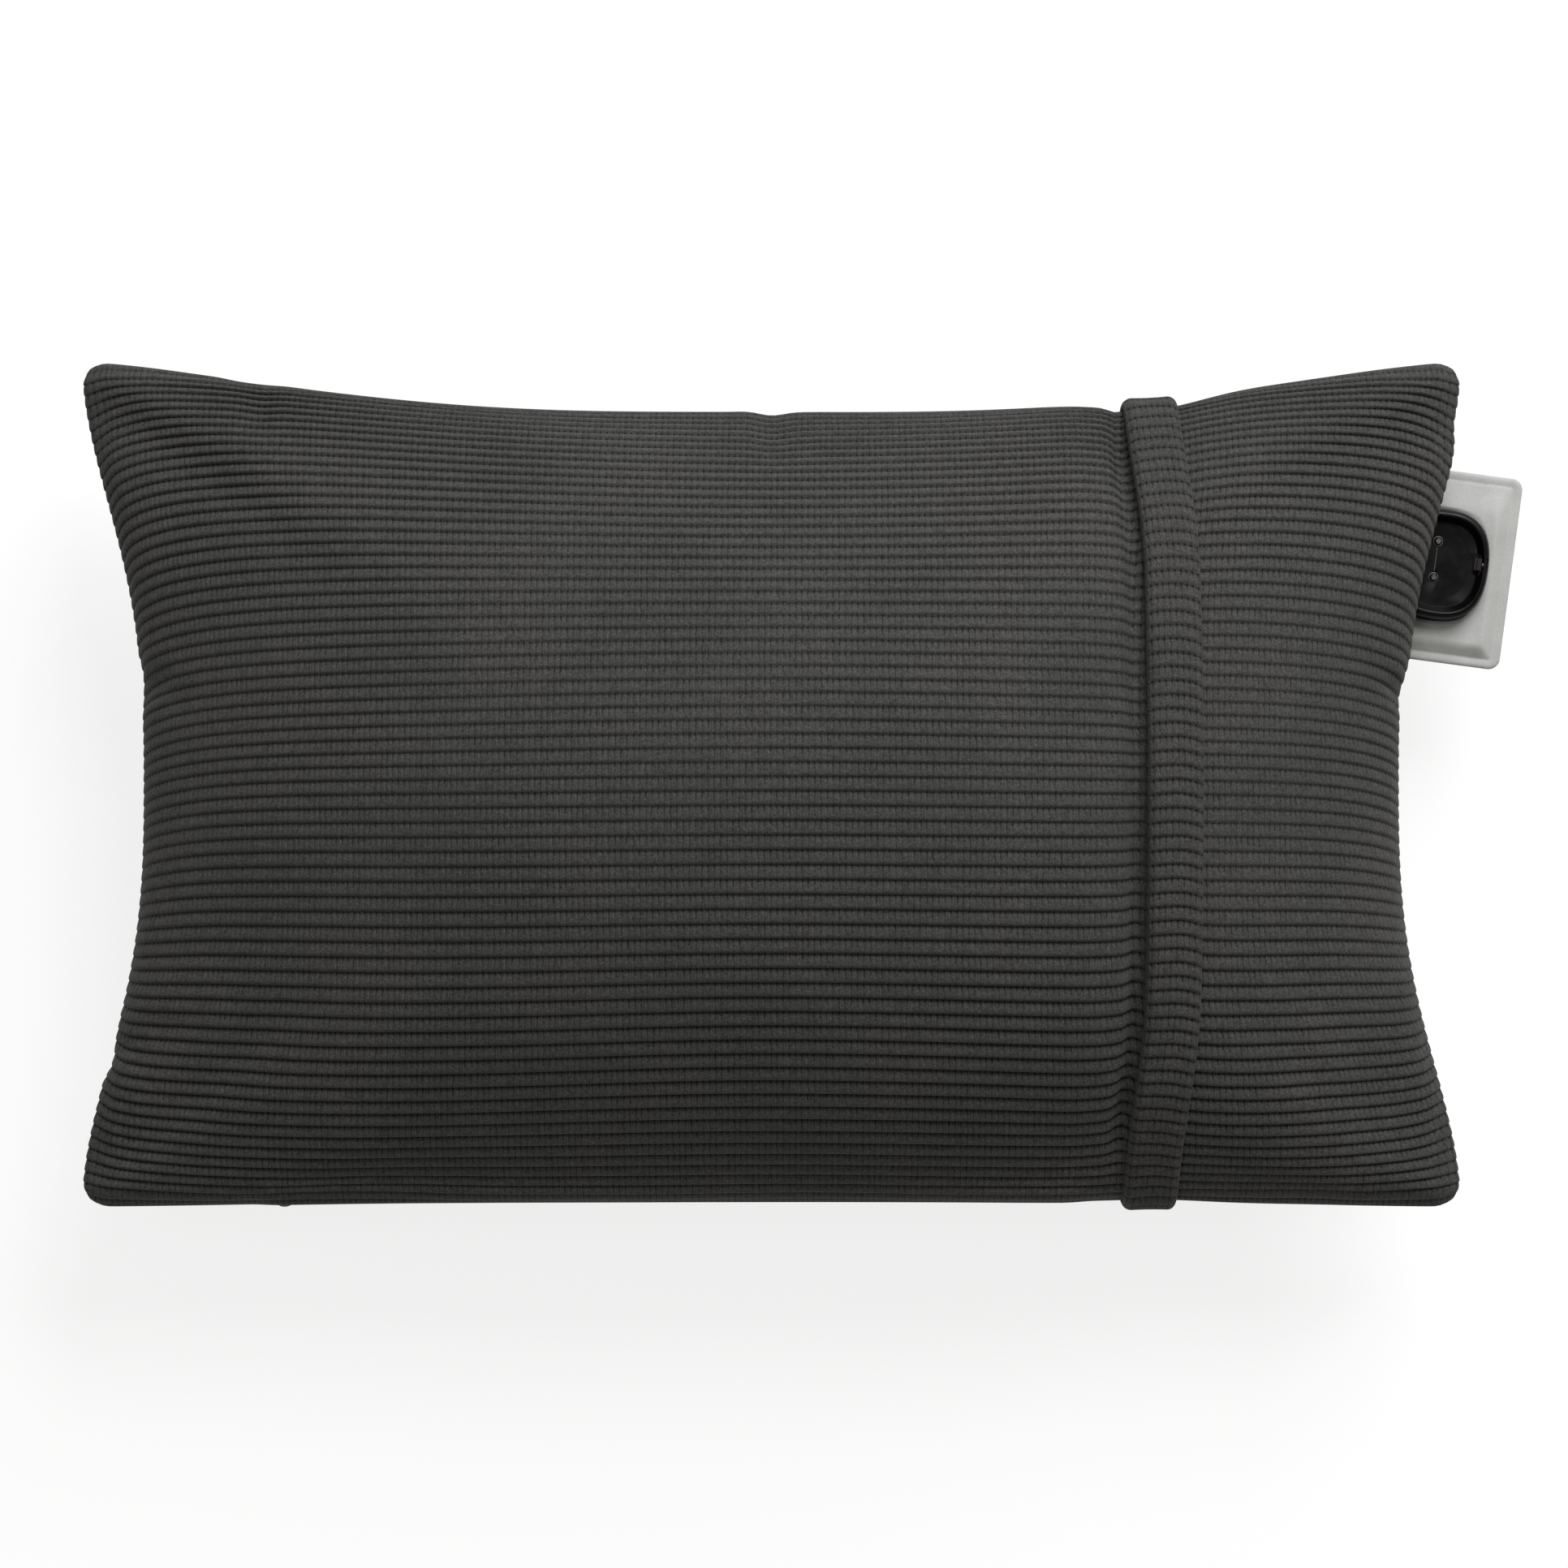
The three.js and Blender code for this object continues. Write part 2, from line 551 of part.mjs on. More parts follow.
function contactPlaces() {
  return [CONTACT_V + CONTACT_SPACING, CONTACT_V - CONTACT_SPACING];
}

function screwPlaces() {
  const places = [];
  for (const u of [-1, 1]) {
    for (const v of [-1, 1]) places.push([DOCK_U + u * SCREW_U, v * SCREW_V]);
  }
  return places;
}

function dockFixings() {
  const disc = dockForm([[0, PLATE_BASE], [0.98, PLATE_BASE], [0.98, PLATE_TOP], [0, PLATE_TOP]]);
  const holes = screwPlaces().map(([u, v]) => cylinder(1.3, 62, 65, u, v));
  const sinks = screwPlaces().map(([u, v]) => cylinder(2.2, 62, 63.6, u, v));
  const screw = [[0, 62.6], [1.9, 62.6], [1.9, 63.3], [1, 63.3], [1, 68.4], [0, 68.4]];
  return [
    piece('dock_back_plate', cut(disc, ...holes, ...sinks), 'innerPlastic'),
    ...screwPlaces().map(([u, v], i) => piece(`dock_screw_${i + 1}`, turned(screw, u, v, 12), 'steel')),
  ];
}

function dockElectrics() {
  const [boardHalfU, boardHalfV] = [12.5, 15];
  const boardLow = [DOCK_U - boardHalfU, -boardHalfV, BOARD_BASE];
  const board = box(boardLow, [DOCK_U + boardHalfU, boardHalfV, BOARD_TOP]);
  const pin = [[0, 68.9], [2.5, 68.9], [2.5, 69.9], [1.5, 69.9], [1.5, 72.5], [1.1, 73], [0, 73]];
  const names = ['upper', 'lower'];
  const pins = contactPlaces().map((v, i) => {
    return piece(`contact_pin_${names[i]}`, turned(pin, DOCK_U + CONTACT_U, v), 'contact');
  });
  const springs = contactPlaces().map((v, i) => {
    const coil = ring(1.4, 2.1, BOARD_TOP + GAP, 68.9 - GAP, DOCK_U + CONTACT_U, v);
    return piece(`contact_spring_${names[i]}`, coil, 'steel');
  });
  return [piece('circuit_board', board, 'board'), ...pins, ...springs];
}

function dockLatch() {
  const [from, to] = [DOCK_U + 14.4, DOCK_U + 17.4];
  const low = [from, CONTACT_V - 2.6, CHANNEL_FLOOR + GAP];
  const block = box(low, [to, CONTACT_V + 2.6, 76.4]);
  const nose = box([from - 1, CONTACT_V - 3, 75.6], [from + 1.2, CONTACT_V + 3, 77]);
  const coil = ring(0.6, 1.1, 0, DOCK_U + CHANNEL_END - to - 2 * GAP, 0, 0);
  coil.rotateY(Math.PI / 2).translate(to + GAP, CONTACT_V, 75);
  return [
    piece('latch_button', cut(block, nose), 'latch'),
    piece('latch_spring', coil, 'steel'),
  ];
}

const model = new THREE.Group();
const tab = new THREE.Group();
tab.rotation.z = -TAB_TILT;
tab.position.copy(TAB_FOLD);
tab.add(...tabPads(), ...rootStrip(), dockHousing(), ...dockFixings(), ...dockElectrics(), ...dockLatch());
model.add(...cover(), loopBand(), ...zip(), ...filling(), tab);

export default model;
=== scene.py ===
import json
import math

import bmesh
import bpy
import numpy as np
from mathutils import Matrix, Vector


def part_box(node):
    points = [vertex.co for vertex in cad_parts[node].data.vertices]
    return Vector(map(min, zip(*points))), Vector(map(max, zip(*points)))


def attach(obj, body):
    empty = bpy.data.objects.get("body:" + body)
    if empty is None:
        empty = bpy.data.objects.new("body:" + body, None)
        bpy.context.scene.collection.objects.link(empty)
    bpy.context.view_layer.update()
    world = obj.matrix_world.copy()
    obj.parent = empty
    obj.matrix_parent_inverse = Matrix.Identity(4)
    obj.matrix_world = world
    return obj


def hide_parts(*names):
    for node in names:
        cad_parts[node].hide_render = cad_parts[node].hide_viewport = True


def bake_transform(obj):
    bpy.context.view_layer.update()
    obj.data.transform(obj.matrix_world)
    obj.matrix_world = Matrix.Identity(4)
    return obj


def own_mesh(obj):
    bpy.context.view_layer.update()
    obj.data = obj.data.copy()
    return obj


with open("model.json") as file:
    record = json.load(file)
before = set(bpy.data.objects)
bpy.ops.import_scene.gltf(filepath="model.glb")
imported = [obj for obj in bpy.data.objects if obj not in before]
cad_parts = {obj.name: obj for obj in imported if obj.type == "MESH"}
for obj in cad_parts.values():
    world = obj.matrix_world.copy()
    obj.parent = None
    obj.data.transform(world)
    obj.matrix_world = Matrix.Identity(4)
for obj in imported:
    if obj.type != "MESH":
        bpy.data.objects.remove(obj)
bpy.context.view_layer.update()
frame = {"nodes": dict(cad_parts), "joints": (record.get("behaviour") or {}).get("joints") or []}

# A battery-heated cushion in a rib-knit cover, with a loop band and a padded side tab that
# carries a battery dock. Metres; MM turns the sizes given in millimetres into metres.

MM = 0.001


def unit_2d(axis):
    return np.array(axis[:2]) / np.hypot(axis[0], axis[1])


# The cushion's main sizes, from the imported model
front_low, front_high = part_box("cover_front")
back_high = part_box("cover_back")[1]
HALF_LENGTH = front_high.x + 1.5 * MM
HALF_WIDTH = front_high.y
SEAM_Z = (front_low.z + back_high.z) / 2
SEAM_GAP = (front_low.z - back_high.z) / 2
FRONT_CROWN = front_high.z - front_low.z
BACK_CROWN = 85 * MM
COVER_THICK = 2.5 * MM

# Outline: how far each side pulls in between its corners, and how it flares into them
SIDE_HOLLOW = 27.5 * MM
UPPER_HOLLOW = 23 * MM
LOWER_HOLLOW = 3 * MM
SIDE_FLARE = (2.8, 2.3)
LONG_FLARE = (3.0, 1.6)
CORNER_RADIUS = 13 * MM
FULLNESS = 0.7

# Knit
RIBS = 70
RIB_DEPTH = 1.5 * MM
RIB_CREST = 0.74
RIB_PHASES = (0.0, 0.08, 0.2, 0.45, 0.7, 0.83, 0.93)
WALE = 2.6 * MM
EDGE_STEPS = (0.0, 0.7, 1.6, 3.0, 5.2)
INNER_COLUMNS = 184
COLUMN_MARGIN = 8.4

# Coarse grid that is simulated: cells along the length and across the width
CELLS = (60, 40)
FLAT_LENGTH = 600 * MM
HALF_FLAT = FLAT_LENGTH / MM / 2
FLAT_WIDTH_ENDS = 374 * MM
FLAT_WIDTH_MIDDLE = 408 * MM
START_LIFT = 12 * MM
SEWING_FRAMES = 14
CLOTH_FRAMES = 60
PRESSURE = 12.0
WRINKLE_SHARE = 0.6
WRINKLE_PASSES = 16
SOFTEN_PASSES = 1
FLOOR_SOFTNESS = 3 * MM
SEAM_DIP = 0.9
SIDE_RIB_SHARE = 0.3
SIDE_RIB_FADE = 16.0
LONG_RIB_SHARE = 0.35
LONG_RIB_FADE = (1.5, 13.0)
CROWN_RIB_SHARE = (0.72, 1.15)
OUTWARD_SHARE = 0.25
WRINKLE_DEPTH = 14 * MM
EDGE_SLACK = 8 * MM

# Near the side seams the ribs fan: inside them they lie nearer the long edges. Across the whole
# panel they arch up: the middle rib lies higher between the side seams than on them.
FAN = 10.0
FAN_REACH = 14.0
FAN_POWER = 1.8
FAN_FADE = (300.0, 60.0)
ARCH = 21.0
ARCH_REACH = 40.0
ARCH_ENDS = 0.65

# Loop band
band_low, band_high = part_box("carry_band")
BAND_X = (band_low.x + band_high.x) / 2
BAND_HALF = (band_high.x - band_low.x) / 2
BAND_SQUEEZE = (1.2 * MM, 3.6 * MM, 4.4 * MM)
BAND_SHIFT = (-1.5 * MM, 4.0 * MM)
BAND_TROUGHS = ((-BAND_HALF - 2.6 * MM, 6.2 * MM, 4.4 * MM), (BAND_HALF + 0.8 * MM, 0.8 * MM, 4.0 * MM))
BAND_DENT = (-BAND_HALF - 4.0 * MM, 2.6 * MM, 12.0 * MM)
LAYER_DENT = (-BAND_HALF - 2.6 * MM, 6.0 * MM, 14.0 * MM)
BAND_FADE = (10 * MM, 45 * MM)

# Zip opening in the lower seam
tape_low, tape_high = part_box("zip_tape_front")
ZIP_START = tape_low.x - 2 * MM
ZIP_END = tape_high.x + 2 * MM
ZIP_HALF_SLIT = 6.5 * MM
ZIP_TAPER = 16 * MM
ZIP_SHOULDER = 24 * MM

# The tab's fold line, from its joint: u runs out of the cushion, v along the seam
swing = next(joint for joint in frame["joints"] if joint["name"] == "tab_swing")
TAB_FOLD = np.array(swing["pos_m"])
TAB_UP = unit_2d(swing["axis"])
TAB_OUT = np.array([TAB_UP[1], -TAB_UP[0]])

# Mouth that the tab comes out of: the back panel's edge drops below it
MOUTH_INNER_U = -9 * MM
MOUTH_INNER_Z = 56 * MM
MOUTH_SLOPE = -16 / 54
MOUTH_HALF = 45.8 * MM
MOUTH_TAPER = 18 * MM
TAB_LIP = 3 * MM
TAB_LIP_HALF = 46 * MM

# Creases that run in from the seam: start, end, width, depth
CREASES = (
    ((-281 * MM, 45 * MM), (-240 * MM, 36 * MM), 6 * MM, 2.6 * MM),
    ((-287 * MM, -118 * MM), (-238 * MM, -96 * MM), 7 * MM, 2.4 * MM),
    ((279 * MM, 44 * MM), (240 * MM, 36 * MM), 6 * MM, 2.4 * MM),
    ((-228 * MM, 178 * MM), (-214 * MM, 140 * MM), 6 * MM, 2.0 * MM),
    ((3 * MM, 163 * MM), (1 * MM, 128 * MM), 8 * MM, 2.2 * MM),
)


# ---------------------------------------------------------------- camera, floor and light

CAMERA_DISTANCE = 1.75
VIEW_WIDTH = 0.685
VIEW_CENTRE_X = 5.5 * MM


def add_camera():
    data = bpy.data.cameras.new("camera")
    data.sensor_width = 36.0
    data.lens = data.sensor_width * CAMERA_DISTANCE / VIEW_WIDTH
    camera = bpy.data.objects.new("camera", data)
    camera.location = (VIEW_CENTRE_X, 0.0, SEAM_Z + CAMERA_DISTANCE)
    bpy.context.scene.collection.objects.link(camera)
    bpy.context.scene.camera = camera


def add_area_light(name, place, aim, size, power, colour):
    data = bpy.data.lights.new(name, "AREA")
    data.color = colour
    data.shape = "DISK"
    data.size = size
    data.energy = power
    light = bpy.data.objects.new(name, data)
    light.location = place
    light.rotation_euler = (Vector(aim) - Vector(place)).to_track_quat("-Z", "Y").to_euler()
    bpy.context.scene.collection.objects.link(light)


def add_studio():
    world = bpy.data.worlds.new("studio")
    world.use_nodes = True
    background = world.node_tree.nodes["Background"]
    background.inputs["Color"].default_value = (1.0, 0.95, 0.88, 1.0)
    background.inputs["Strength"].default_value = 0.3
    bpy.context.scene.world = world
    bpy.context.scene.view_settings.view_transform = "Standard"
    add_area_light("key", (0.7, 1.5, 1.45), (0.0, 0.0, 0.08), 1.5, 64.0, (0.98, 0.99, 1.0))
    add_area_light("fill", (-0.72, 0.15, 2.0), (0.0, 0.0, 0.08), 0.7, 5.0, (0.85, 0.94, 1.0))
    bpy.ops.mesh.primitive_plane_add(size=8.0, location=(0.0, 0.0, -0.3 * MM))
    floor = bpy.context.object
    floor.name = "floor"
    shader = Shader("studio_floor", {"Roughness": 0.9, "Base Color": rgb(0.2, 0.2, 0.2),
                                     "Emission Color": rgb(1.0, 1.0, 1.0), "Emission Strength": 0.8})
    floor.data.materials.append(shader.material)


# ---------------------------------------------------------------- materials

class Shader:
    """A material with a Principled shader, and short ways to add nodes to it."""

    def __init__(self, name, settings):
        self.material = bpy.data.materials.new(name)
        self.material.use_nodes = True
        self.tree = self.material.node_tree
        self.principled = self.tree.nodes["Principled BSDF"]
        for socket, value in settings.items():
            self.principled.inputs[socket].default_value = value

    def node(self, kind, inputs=None, **settings):
        made = self.tree.nodes.new(kind)
        for key, value in settings.items():
            setattr(made, key, value)
        for key, value in (inputs or {}).items():
            self.feed(made.inputs[key], value)
        return made

    def feed(self, socket, value):
        if isinstance(value, bpy.types.NodeSocket):
            self.tree.links.new(value, socket)
        else:
            socket.default_value = value

    def math(self, operation, *values):
        made = self.node("ShaderNodeMath", operation=operation)
        for socket, value in zip(made.inputs, values):
            self.feed(socket, value)
        return made.outputs[0]

    def add(self, first, second):
        return self.math("ADD", first, second)

    def times(self, first, second):
        return self.math("MULTIPLY", first, second)

    def scaled_add(self, value, factor, offset):
        return self.math("MULTIPLY_ADD", value, factor, offset)

    def smooth(self, value, low, high, to_low=0.0, to_high=1.0):
        inputs = {"Value": value, "From Min": low, "From Max": high}
        inputs.update({"To Min": to_low, "To Max": to_high})
        made = self.node("ShaderNodeMapRange", inputs, interpolation_type="SMOOTHSTEP")
        return made.outputs[0]

    def noise(self, scale, detail=2.0, roughness=0.5):
        coordinates = self.node("ShaderNodeTexCoord").outputs["Object"]
        inputs = {"Vector": coordinates, "Scale": scale, "Detail": detail, "Roughness": roughness}
        return self.node("ShaderNodeTexNoise", inputs).outputs["Fac"]

    def mix(self, share, first, second):
        made = self.node("ShaderNodeMix", data_type="RGBA")
        self.feed(made.inputs[0], share)
        self.feed(made.inputs[6], first)
        self.feed(made.inputs[7], second)
        return made.outputs[2]

    def scaled(self, colour, amount):
        made = self.node("ShaderNodeMix", data_type="RGBA", blend_type="MULTIPLY")
        made.inputs[0].default_value = 1.0
        self.feed(made.inputs[6], colour)
        grey = self.node("ShaderNodeCombineColor")
        for socket in grey.inputs:
            self.feed(socket, amount)
        self.feed(made.inputs[7], grey.outputs[0])
        return made.outputs[2]

    def colour(self, colour, amount):
        self.feed(self.principled.inputs["Base Color"], self.scaled(colour, amount))

    def roughness(self, cloud, low, high):
        self.feed(self.principled.inputs["Roughness"], self.smooth(cloud, 0.3, 0.7, low, high))

    def bump(self, height, distance, strength=1.0):
        inputs = {"Height": height, "Distance": distance, "Strength": strength}
        made = self.node("ShaderNodeBump", inputs)
        self.feed(self.principled.inputs["Normal"], made.outputs[0])


def rgb(red, green, blue):
    return (red, green, blue, 1.0)


def knit_material(name, light, dark, sheen=0.05, ribs=None):
    """Rib knit: UV map knit counts stitch columns along U and ribs along V.

    Colour carries painted shade. Each rib is darkest in a painted groove shadow above it,
    deeper where the gaps between stitches show as dots, and carries short strokes between its
    stitch columns: stitch pattern darkened by painted shade that fades towards its crest. On a
    panel with a given number of ribs the painted groove shade is weaker over the crown, strongest
    on the slopes and fades out next to the long seams.
    """
    shader = Shader(name, {"Roughness": 0.92, "Specular IOR Level": 0.25, "Sheen Weight": sheen,
                           "Sheen Roughness": 0.45})
    uv = shader.node("ShaderNodeUVMap", uv_map="knit").outputs[0]
    split = shader.node("ShaderNodeSeparateXYZ", {"Vector": uv})
    jitter = shader.scaled_add(shader.noise(260.0), 0.5, -0.25)
    column = shader.math("FRACT", shader.add(split.outputs[0], jitter))
    phase = shader.math("FRACT", split.outputs[1])
    from_middle = shader.math("ABSOLUTE", shader.math("SUBTRACT", column, 0.5))
    between = shader.smooth(from_middle, 0.2, 0.46)
    inside = shader.smooth(from_middle, 0.14, 0.02)
    # painted shade on each rib's upper half, under the crest above it, fading towards its own crest; it
    # darkens the strokes
    upper = shader.smooth(phase, 0.1, 0.9, 1.0, 0.35)
    into_groove = shader.smooth(phase, 0.24, 0.02)
    groove = shader.math("MAXIMUM", into_groove, shader.smooth(phase, 0.9, 1.0))
    fibre = shader.noise(1300.0, 3.0, roughness=0.7)
    yarn, patch, blotch = shader.noise(420.0), shader.noise(150.0), shader.noise(14.0, 3.0)
    legs = shader.scaled_add(inside, 0.55, between)
    legs = shader.times(legs, shader.smooth(patch, 0.3, 0.7, 0.55, 1.25))
    strokes = shader.times(shader.times(legs, upper), -0.5)
    # painted glints: bright specks from the fine fibre noise, added to yarn tone that varies at random
    painted_glints = shader.smooth(fibre, 0.35, 0.72, 0.0, 0.86)
    glints_and_yarn_tone = shader.add(painted_glints, shader.smooth(yarn, 0.3, 0.7, 0.0, 0.24))
    brightness = shader.math("MAXIMUM", shader.add(shader.add(strokes, 0.64), glints_and_yarn_tone), 0.16)
    # painted shade in the groove, deeper between the stitch columns
    depth = shader.times(groove, shader.scaled_add(between, 0.5, 0.46))
    # painted groove shade: weaker over the crown, strongest on the slopes, fading out at the long seams
    if ribs:
        across = shader.math("ABSOLUTE", shader.scaled_add(split.outputs[1], 2.0 / ribs, -1.0))
        depth = shader.times(depth, shader.smooth(across, 0.1, 0.75, 0.66, 1.0))
        depth = shader.times(depth, shader.smooth(across, 0.995, 0.93, 0.3, 1.0))
    shade = shader.times(brightness, shader.math("SUBTRACT", 1.0, depth))
    tint = shader.mix(shader.smooth(blotch, 0.35, 0.65), light, dark)
    shader.colour(tint, shade)
    rounded = shader.math("SUBTRACT", 1.0, shader.math("POWER", shader.times(from_middle, 2.0), 2.0))
    stitch = shader.times(rounded, shader.math("MAXIMUM", upper, groove))
    shader.bump(shader.scaled_add(fibre, 0.7, stitch), 0.4 * MM, 0.9)
    return shader.material


def woven_material(name, colour, scale=1500.0, depth=0.12 * MM):
    """Fine plain weave or brushed fabric, from crossed waves in the object's own coordinates."""
    shader = Shader(name, {"Roughness": 0.85, "Specular IOR Level": 0.3, "Sheen Weight": 0.1})
    place = shader.node("ShaderNodeTexCoord").outputs["Object"]
    split = shader.node("ShaderNodeSeparateXYZ", {"Vector": place})
    waves = [shader.math("SINE", shader.times(split.outputs[k], scale * math.pi)) for k in (0, 1)]
    weave = shader.times(*waves)
    cloud = shader.noise(60.0, 4.0)
    fleck = shader.noise(1400.0)
    shade = shader.scaled_add(weave, 0.03, shader.smooth(cloud, 0.25, 0.75, 0.9, 1.04))
    shader.colour(colour, shader.times(shade, shader.smooth(fleck, 0.2, 0.8, 0.93, 1.05)))
    shader.bump(shader.scaled_add(weave, 0.5, fleck), depth)
    return shader.material


def plastic_material(name, colour, roughness, specular=0.5):
    shader = Shader(name, {"Specular IOR Level": specular})
    wear = shader.noise(120.0, 4.0)
    shader.colour(colour, shader.smooth(wear, 0.3, 0.75, 0.86, 1.14))
    shader.roughness(wear, roughness * 0.8, roughness * 1.25)
    shader.bump(shader.noise(2600.0), 0.02 * MM, 0.5)
    return shader.material


def metal_material(name, colour, roughness):
    shader = Shader(name, {"Metallic": 1.0})
    scratch = shader.noise(700.0, 5.0)
    shader.colour(colour, shader.smooth(scratch, 0.3, 0.7, 0.85, 1.1))
    shader.roughness(scratch, roughness * 0.8, roughness * 1.4)
    return shader.material


def fluffy_material(name, colour):
    shader = Shader(name, {"Roughness": 1.0, "Specular IOR Level": 0.1, "Sheen Weight": 0.3})
    tuft = shader.noise(160.0, 6.0, roughness=0.7)
    shader.colour(colour, shader.smooth(tuft, 0.25, 0.75, 0.8, 1.05))
    shader.bump(tuft, 2.0 * MM, 0.8)
    return shader.material


# ---------------------------------------------------------------- mesh helpers

def new_object(name, vertices, faces, material, uv=None, smooth=True):
    mesh = bpy.data.meshes.new(name)
    mesh.from_pydata(np.asarray(vertices).tolist(), [], faces)
    if uv is not None:
        corners = np.empty(len(mesh.loops), dtype=np.int32)
        mesh.loops.foreach_get("vertex_index", corners)
        layer = mesh.uv_layers.new(name="knit")
        layer.data.foreach_set("uv", np.asarray(uv, dtype=np.float32)[corners].ravel())
    closed = bmesh.new()
    closed.from_mesh(mesh)
    bmesh.ops.recalc_face_normals(closed, faces=closed.faces)
    closed.to_mesh(mesh)
    closed.free()
    mesh.polygons.foreach_set("use_smooth", [smooth] * len(mesh.polygons))
    mesh.materials.append(material)
    mesh.update()
    made = bpy.data.objects.new(name, mesh)
    bpy.context.scene.collection.objects.link(made)
    return made


def grid_faces(rows, columns, start=0, flip=False):
    """Quads of a rows by columns grid of vertices numbered row by row from start."""
    j, i = np.meshgrid(np.arange(rows - 1), np.arange(columns - 1), indexing="ij")
    corner = (start + j * columns + i).ravel()
    quads = np.stack([corner, corner + 1, corner + columns + 1, corner + columns], axis=1)
    if flip:
        quads = quads[:, ::-1]
    return quads.tolist()


def border(rows, columns, row_places, column_places, start=0):
    """The border vertices of a grid in order, each with how far round it is, a side counting 1."""
    j_end, i_end = rows - 1, columns - 1
    across = (column_places - column_places[0]) / (column_places[-1] - column_places[0])
    down = (row_places - row_places[0]) / (row_places[-1] - row_places[0])
    loop = [(i, across[i]) for i in range(i_end)]
    loop += [(j * columns + i_end, 1 + down[j]) for j in range(j_end)]
    loop += [(j_end * columns + i, 3 - across[i]) for i in range(i_end, 0, -1)]
    loop += [(j * columns, 4 - down[j]) for j in range(j_end, 0, -1)]
    return [(start + vertex, place) for vertex, place in loop]


def strip_between(first, second):
    """Triangles that join two closed loops of (vertex, place) pairs, both starting at place 0."""
    turn = 4.0
    a = first + [(first[0][0], turn)]
    b = second + [(second[0][0], turn)]
    faces = []
    m = n = 0
    while m < len(a) - 1 or n < len(b) - 1:
        take_a = n == len(b) - 1 or (m < len(a) - 1 and a[m + 1][1] <= b[n + 1][1])
        if take_a:
            faces.append((a[m][0], a[m + 1][0], b[n][0]))
            m += 1
        else:
            faces.append((a[m][0], b[n + 1][0], b[n][0]))
            n += 1
    return faces


def ring_faces(numbers):
    """Quads between neighbouring closed rings of vertices."""
    near, far = numbers[:-1], numbers[1:]
    quads = np.stack([near, np.roll(near, -1, axis=1), np.roll(far, -1, axis=1), far], axis=-1)
    return quads.reshape(-1, 4).tolist()


def tube_shape(rings):
    """Vertices and faces of a solid made of closed rings, flat at its first and last ring."""
    numbers = np.arange(rings.shape[0] * rings.shape[1]).reshape(rings.shape[:2])
    ends = [tuple(numbers[0].tolist()), tuple(numbers[-1][::-1].tolist())]
    return rings.reshape(-1, 3), ring_faces(numbers) + ends


def sleeve_shape(outer, inner):
    """Vertices and faces of the shell between two sets of closed rings, joined at both ends."""
    numbers = np.arange(outer.shape[0] * outer.shape[1]).reshape(outer.shape[:2])
    faces = ring_faces(numbers) + ring_faces(numbers + numbers.size)
    for row in (0, -1):
        faces += ring_faces(np.stack([numbers[row], numbers[row] + numbers.size]))
    return np.concatenate([outer.reshape(-1, 3), inner.reshape(-1, 3)]), faces


def merged(shapes):
    """One list of vertices and one of faces from several closed shapes."""
    vertices, faces = [], []
    for shape_vertices, shape_faces in shapes:
        start = len(vertices)
        vertices += [tuple(place) for place in shape_vertices]
        faces += [tuple(start + k for k in face) for face in shape_faces]
    return vertices, faces


def mesh_points(mesh):
    points = np.empty(len(mesh.vertices) * 3, dtype=np.float32)
    mesh.vertices.foreach_get("co", points)
    return points.reshape(-1, 3).astype(float)


def unit(vectors):
    return vectors / np.maximum(np.linalg.norm(vectors, axis=-1, keepdims=True), 1e-12)


def smoothstep(value, low, high):
    share = np.clip((value - low) / (high - low), 0.0, 1.0)
    return share * share * (3 - 2 * share)


def bell(value, middle, width):
    return np.exp(-(((value - middle) / width) ** 2))


# ---------------------------------------------------------------- the cushion's shape

def band_middle(y):
    """Where the loop band's middle lies along the cushion: it bows towards the tab over the crown."""
    return BAND_X + BAND_SHIFT[0] + (BAND_SHIFT[1] - BAND_SHIFT[0]) * smoothstep(np.abs(y), 172 * MM, 90 * MM)


def beside_band(points, dent):
    """Depth of a furrow beside the loop band, which fades out at the long seams."""
    place, depth, width = dent
    from_band = points[..., 0] - band_middle(points[..., 1])
    return depth * bell(from_band, place, width) * smoothstep(HALF_WIDTH - np.abs(points[..., 1]), *BAND_FADE)


def flare(share, powers):
    inner, outer = powers
    return 1 - (1 - np.abs(share) ** inner) ** outer


def formula_point(side, s, t, inset=0.0, depth=0.0):
    """The cushion's skin at s along its length and t across its width, both from -1 to 1.

    A layer below the skin is inset from the outline and lies at a depth below the crown.
    """
    hollow = np.where(t > 0, UPPER_HOLLOW, LOWER_HOLLOW)
    half_long = HALF_LENGTH - SIDE_HOLLOW * (1 - flare(t, SIDE_FLARE)) - inset
    half_wide = HALF_WIDTH - hollow * (1 - flare(s, LONG_FLARE)) - inset
    rise = np.clip((1 - s * s) * (1 - t * t), 0.0, None) ** FULLNESS
    height = FRONT_CROWN - depth if side > 0 else depth - BACK_CROWN
    return np.stack([s * half_long, t * half_wide, SEAM_Z + height * rise], axis=-1)


def even_lengths(points, places, axis):
    """New places along one axis of a grid, so that its points lie evenly along each line."""
    steps = np.linalg.norm(np.diff(points, axis=axis), axis=-1)
    moved = np.moveaxis(places.copy(), axis, 0)
    lengths = np.moveaxis(steps, axis, 0)
    for k in range(moved.shape[1]):
        run = np.concatenate([[0.0], np.cumsum(lengths[:, k])])
        moved[:, k] = np.interp(np.linspace(0.0, run[-1], len(run)), run, moved[:, k])
    return np.moveaxis(moved, 0, axis)


def even_places(side):
    """Where on the formula's skin each point of an evenly spread fabric grid lies, as s and t."""
    refine = 4
    columns, rows = CELLS[0] * refine + 1, CELLS[1] * refine + 1
    t, s = np.meshgrid(np.linspace(-1, 1, rows), np.linspace(-1, 1, columns), indexing="ij")
    for _ in range(3):
        s = even_lengths(formula_point(side, s, t), s, 1)
        t = even_lengths(formula_point(side, s, t), t, 0)
    return s[::refine, ::refine], t[::refine, ::refine]


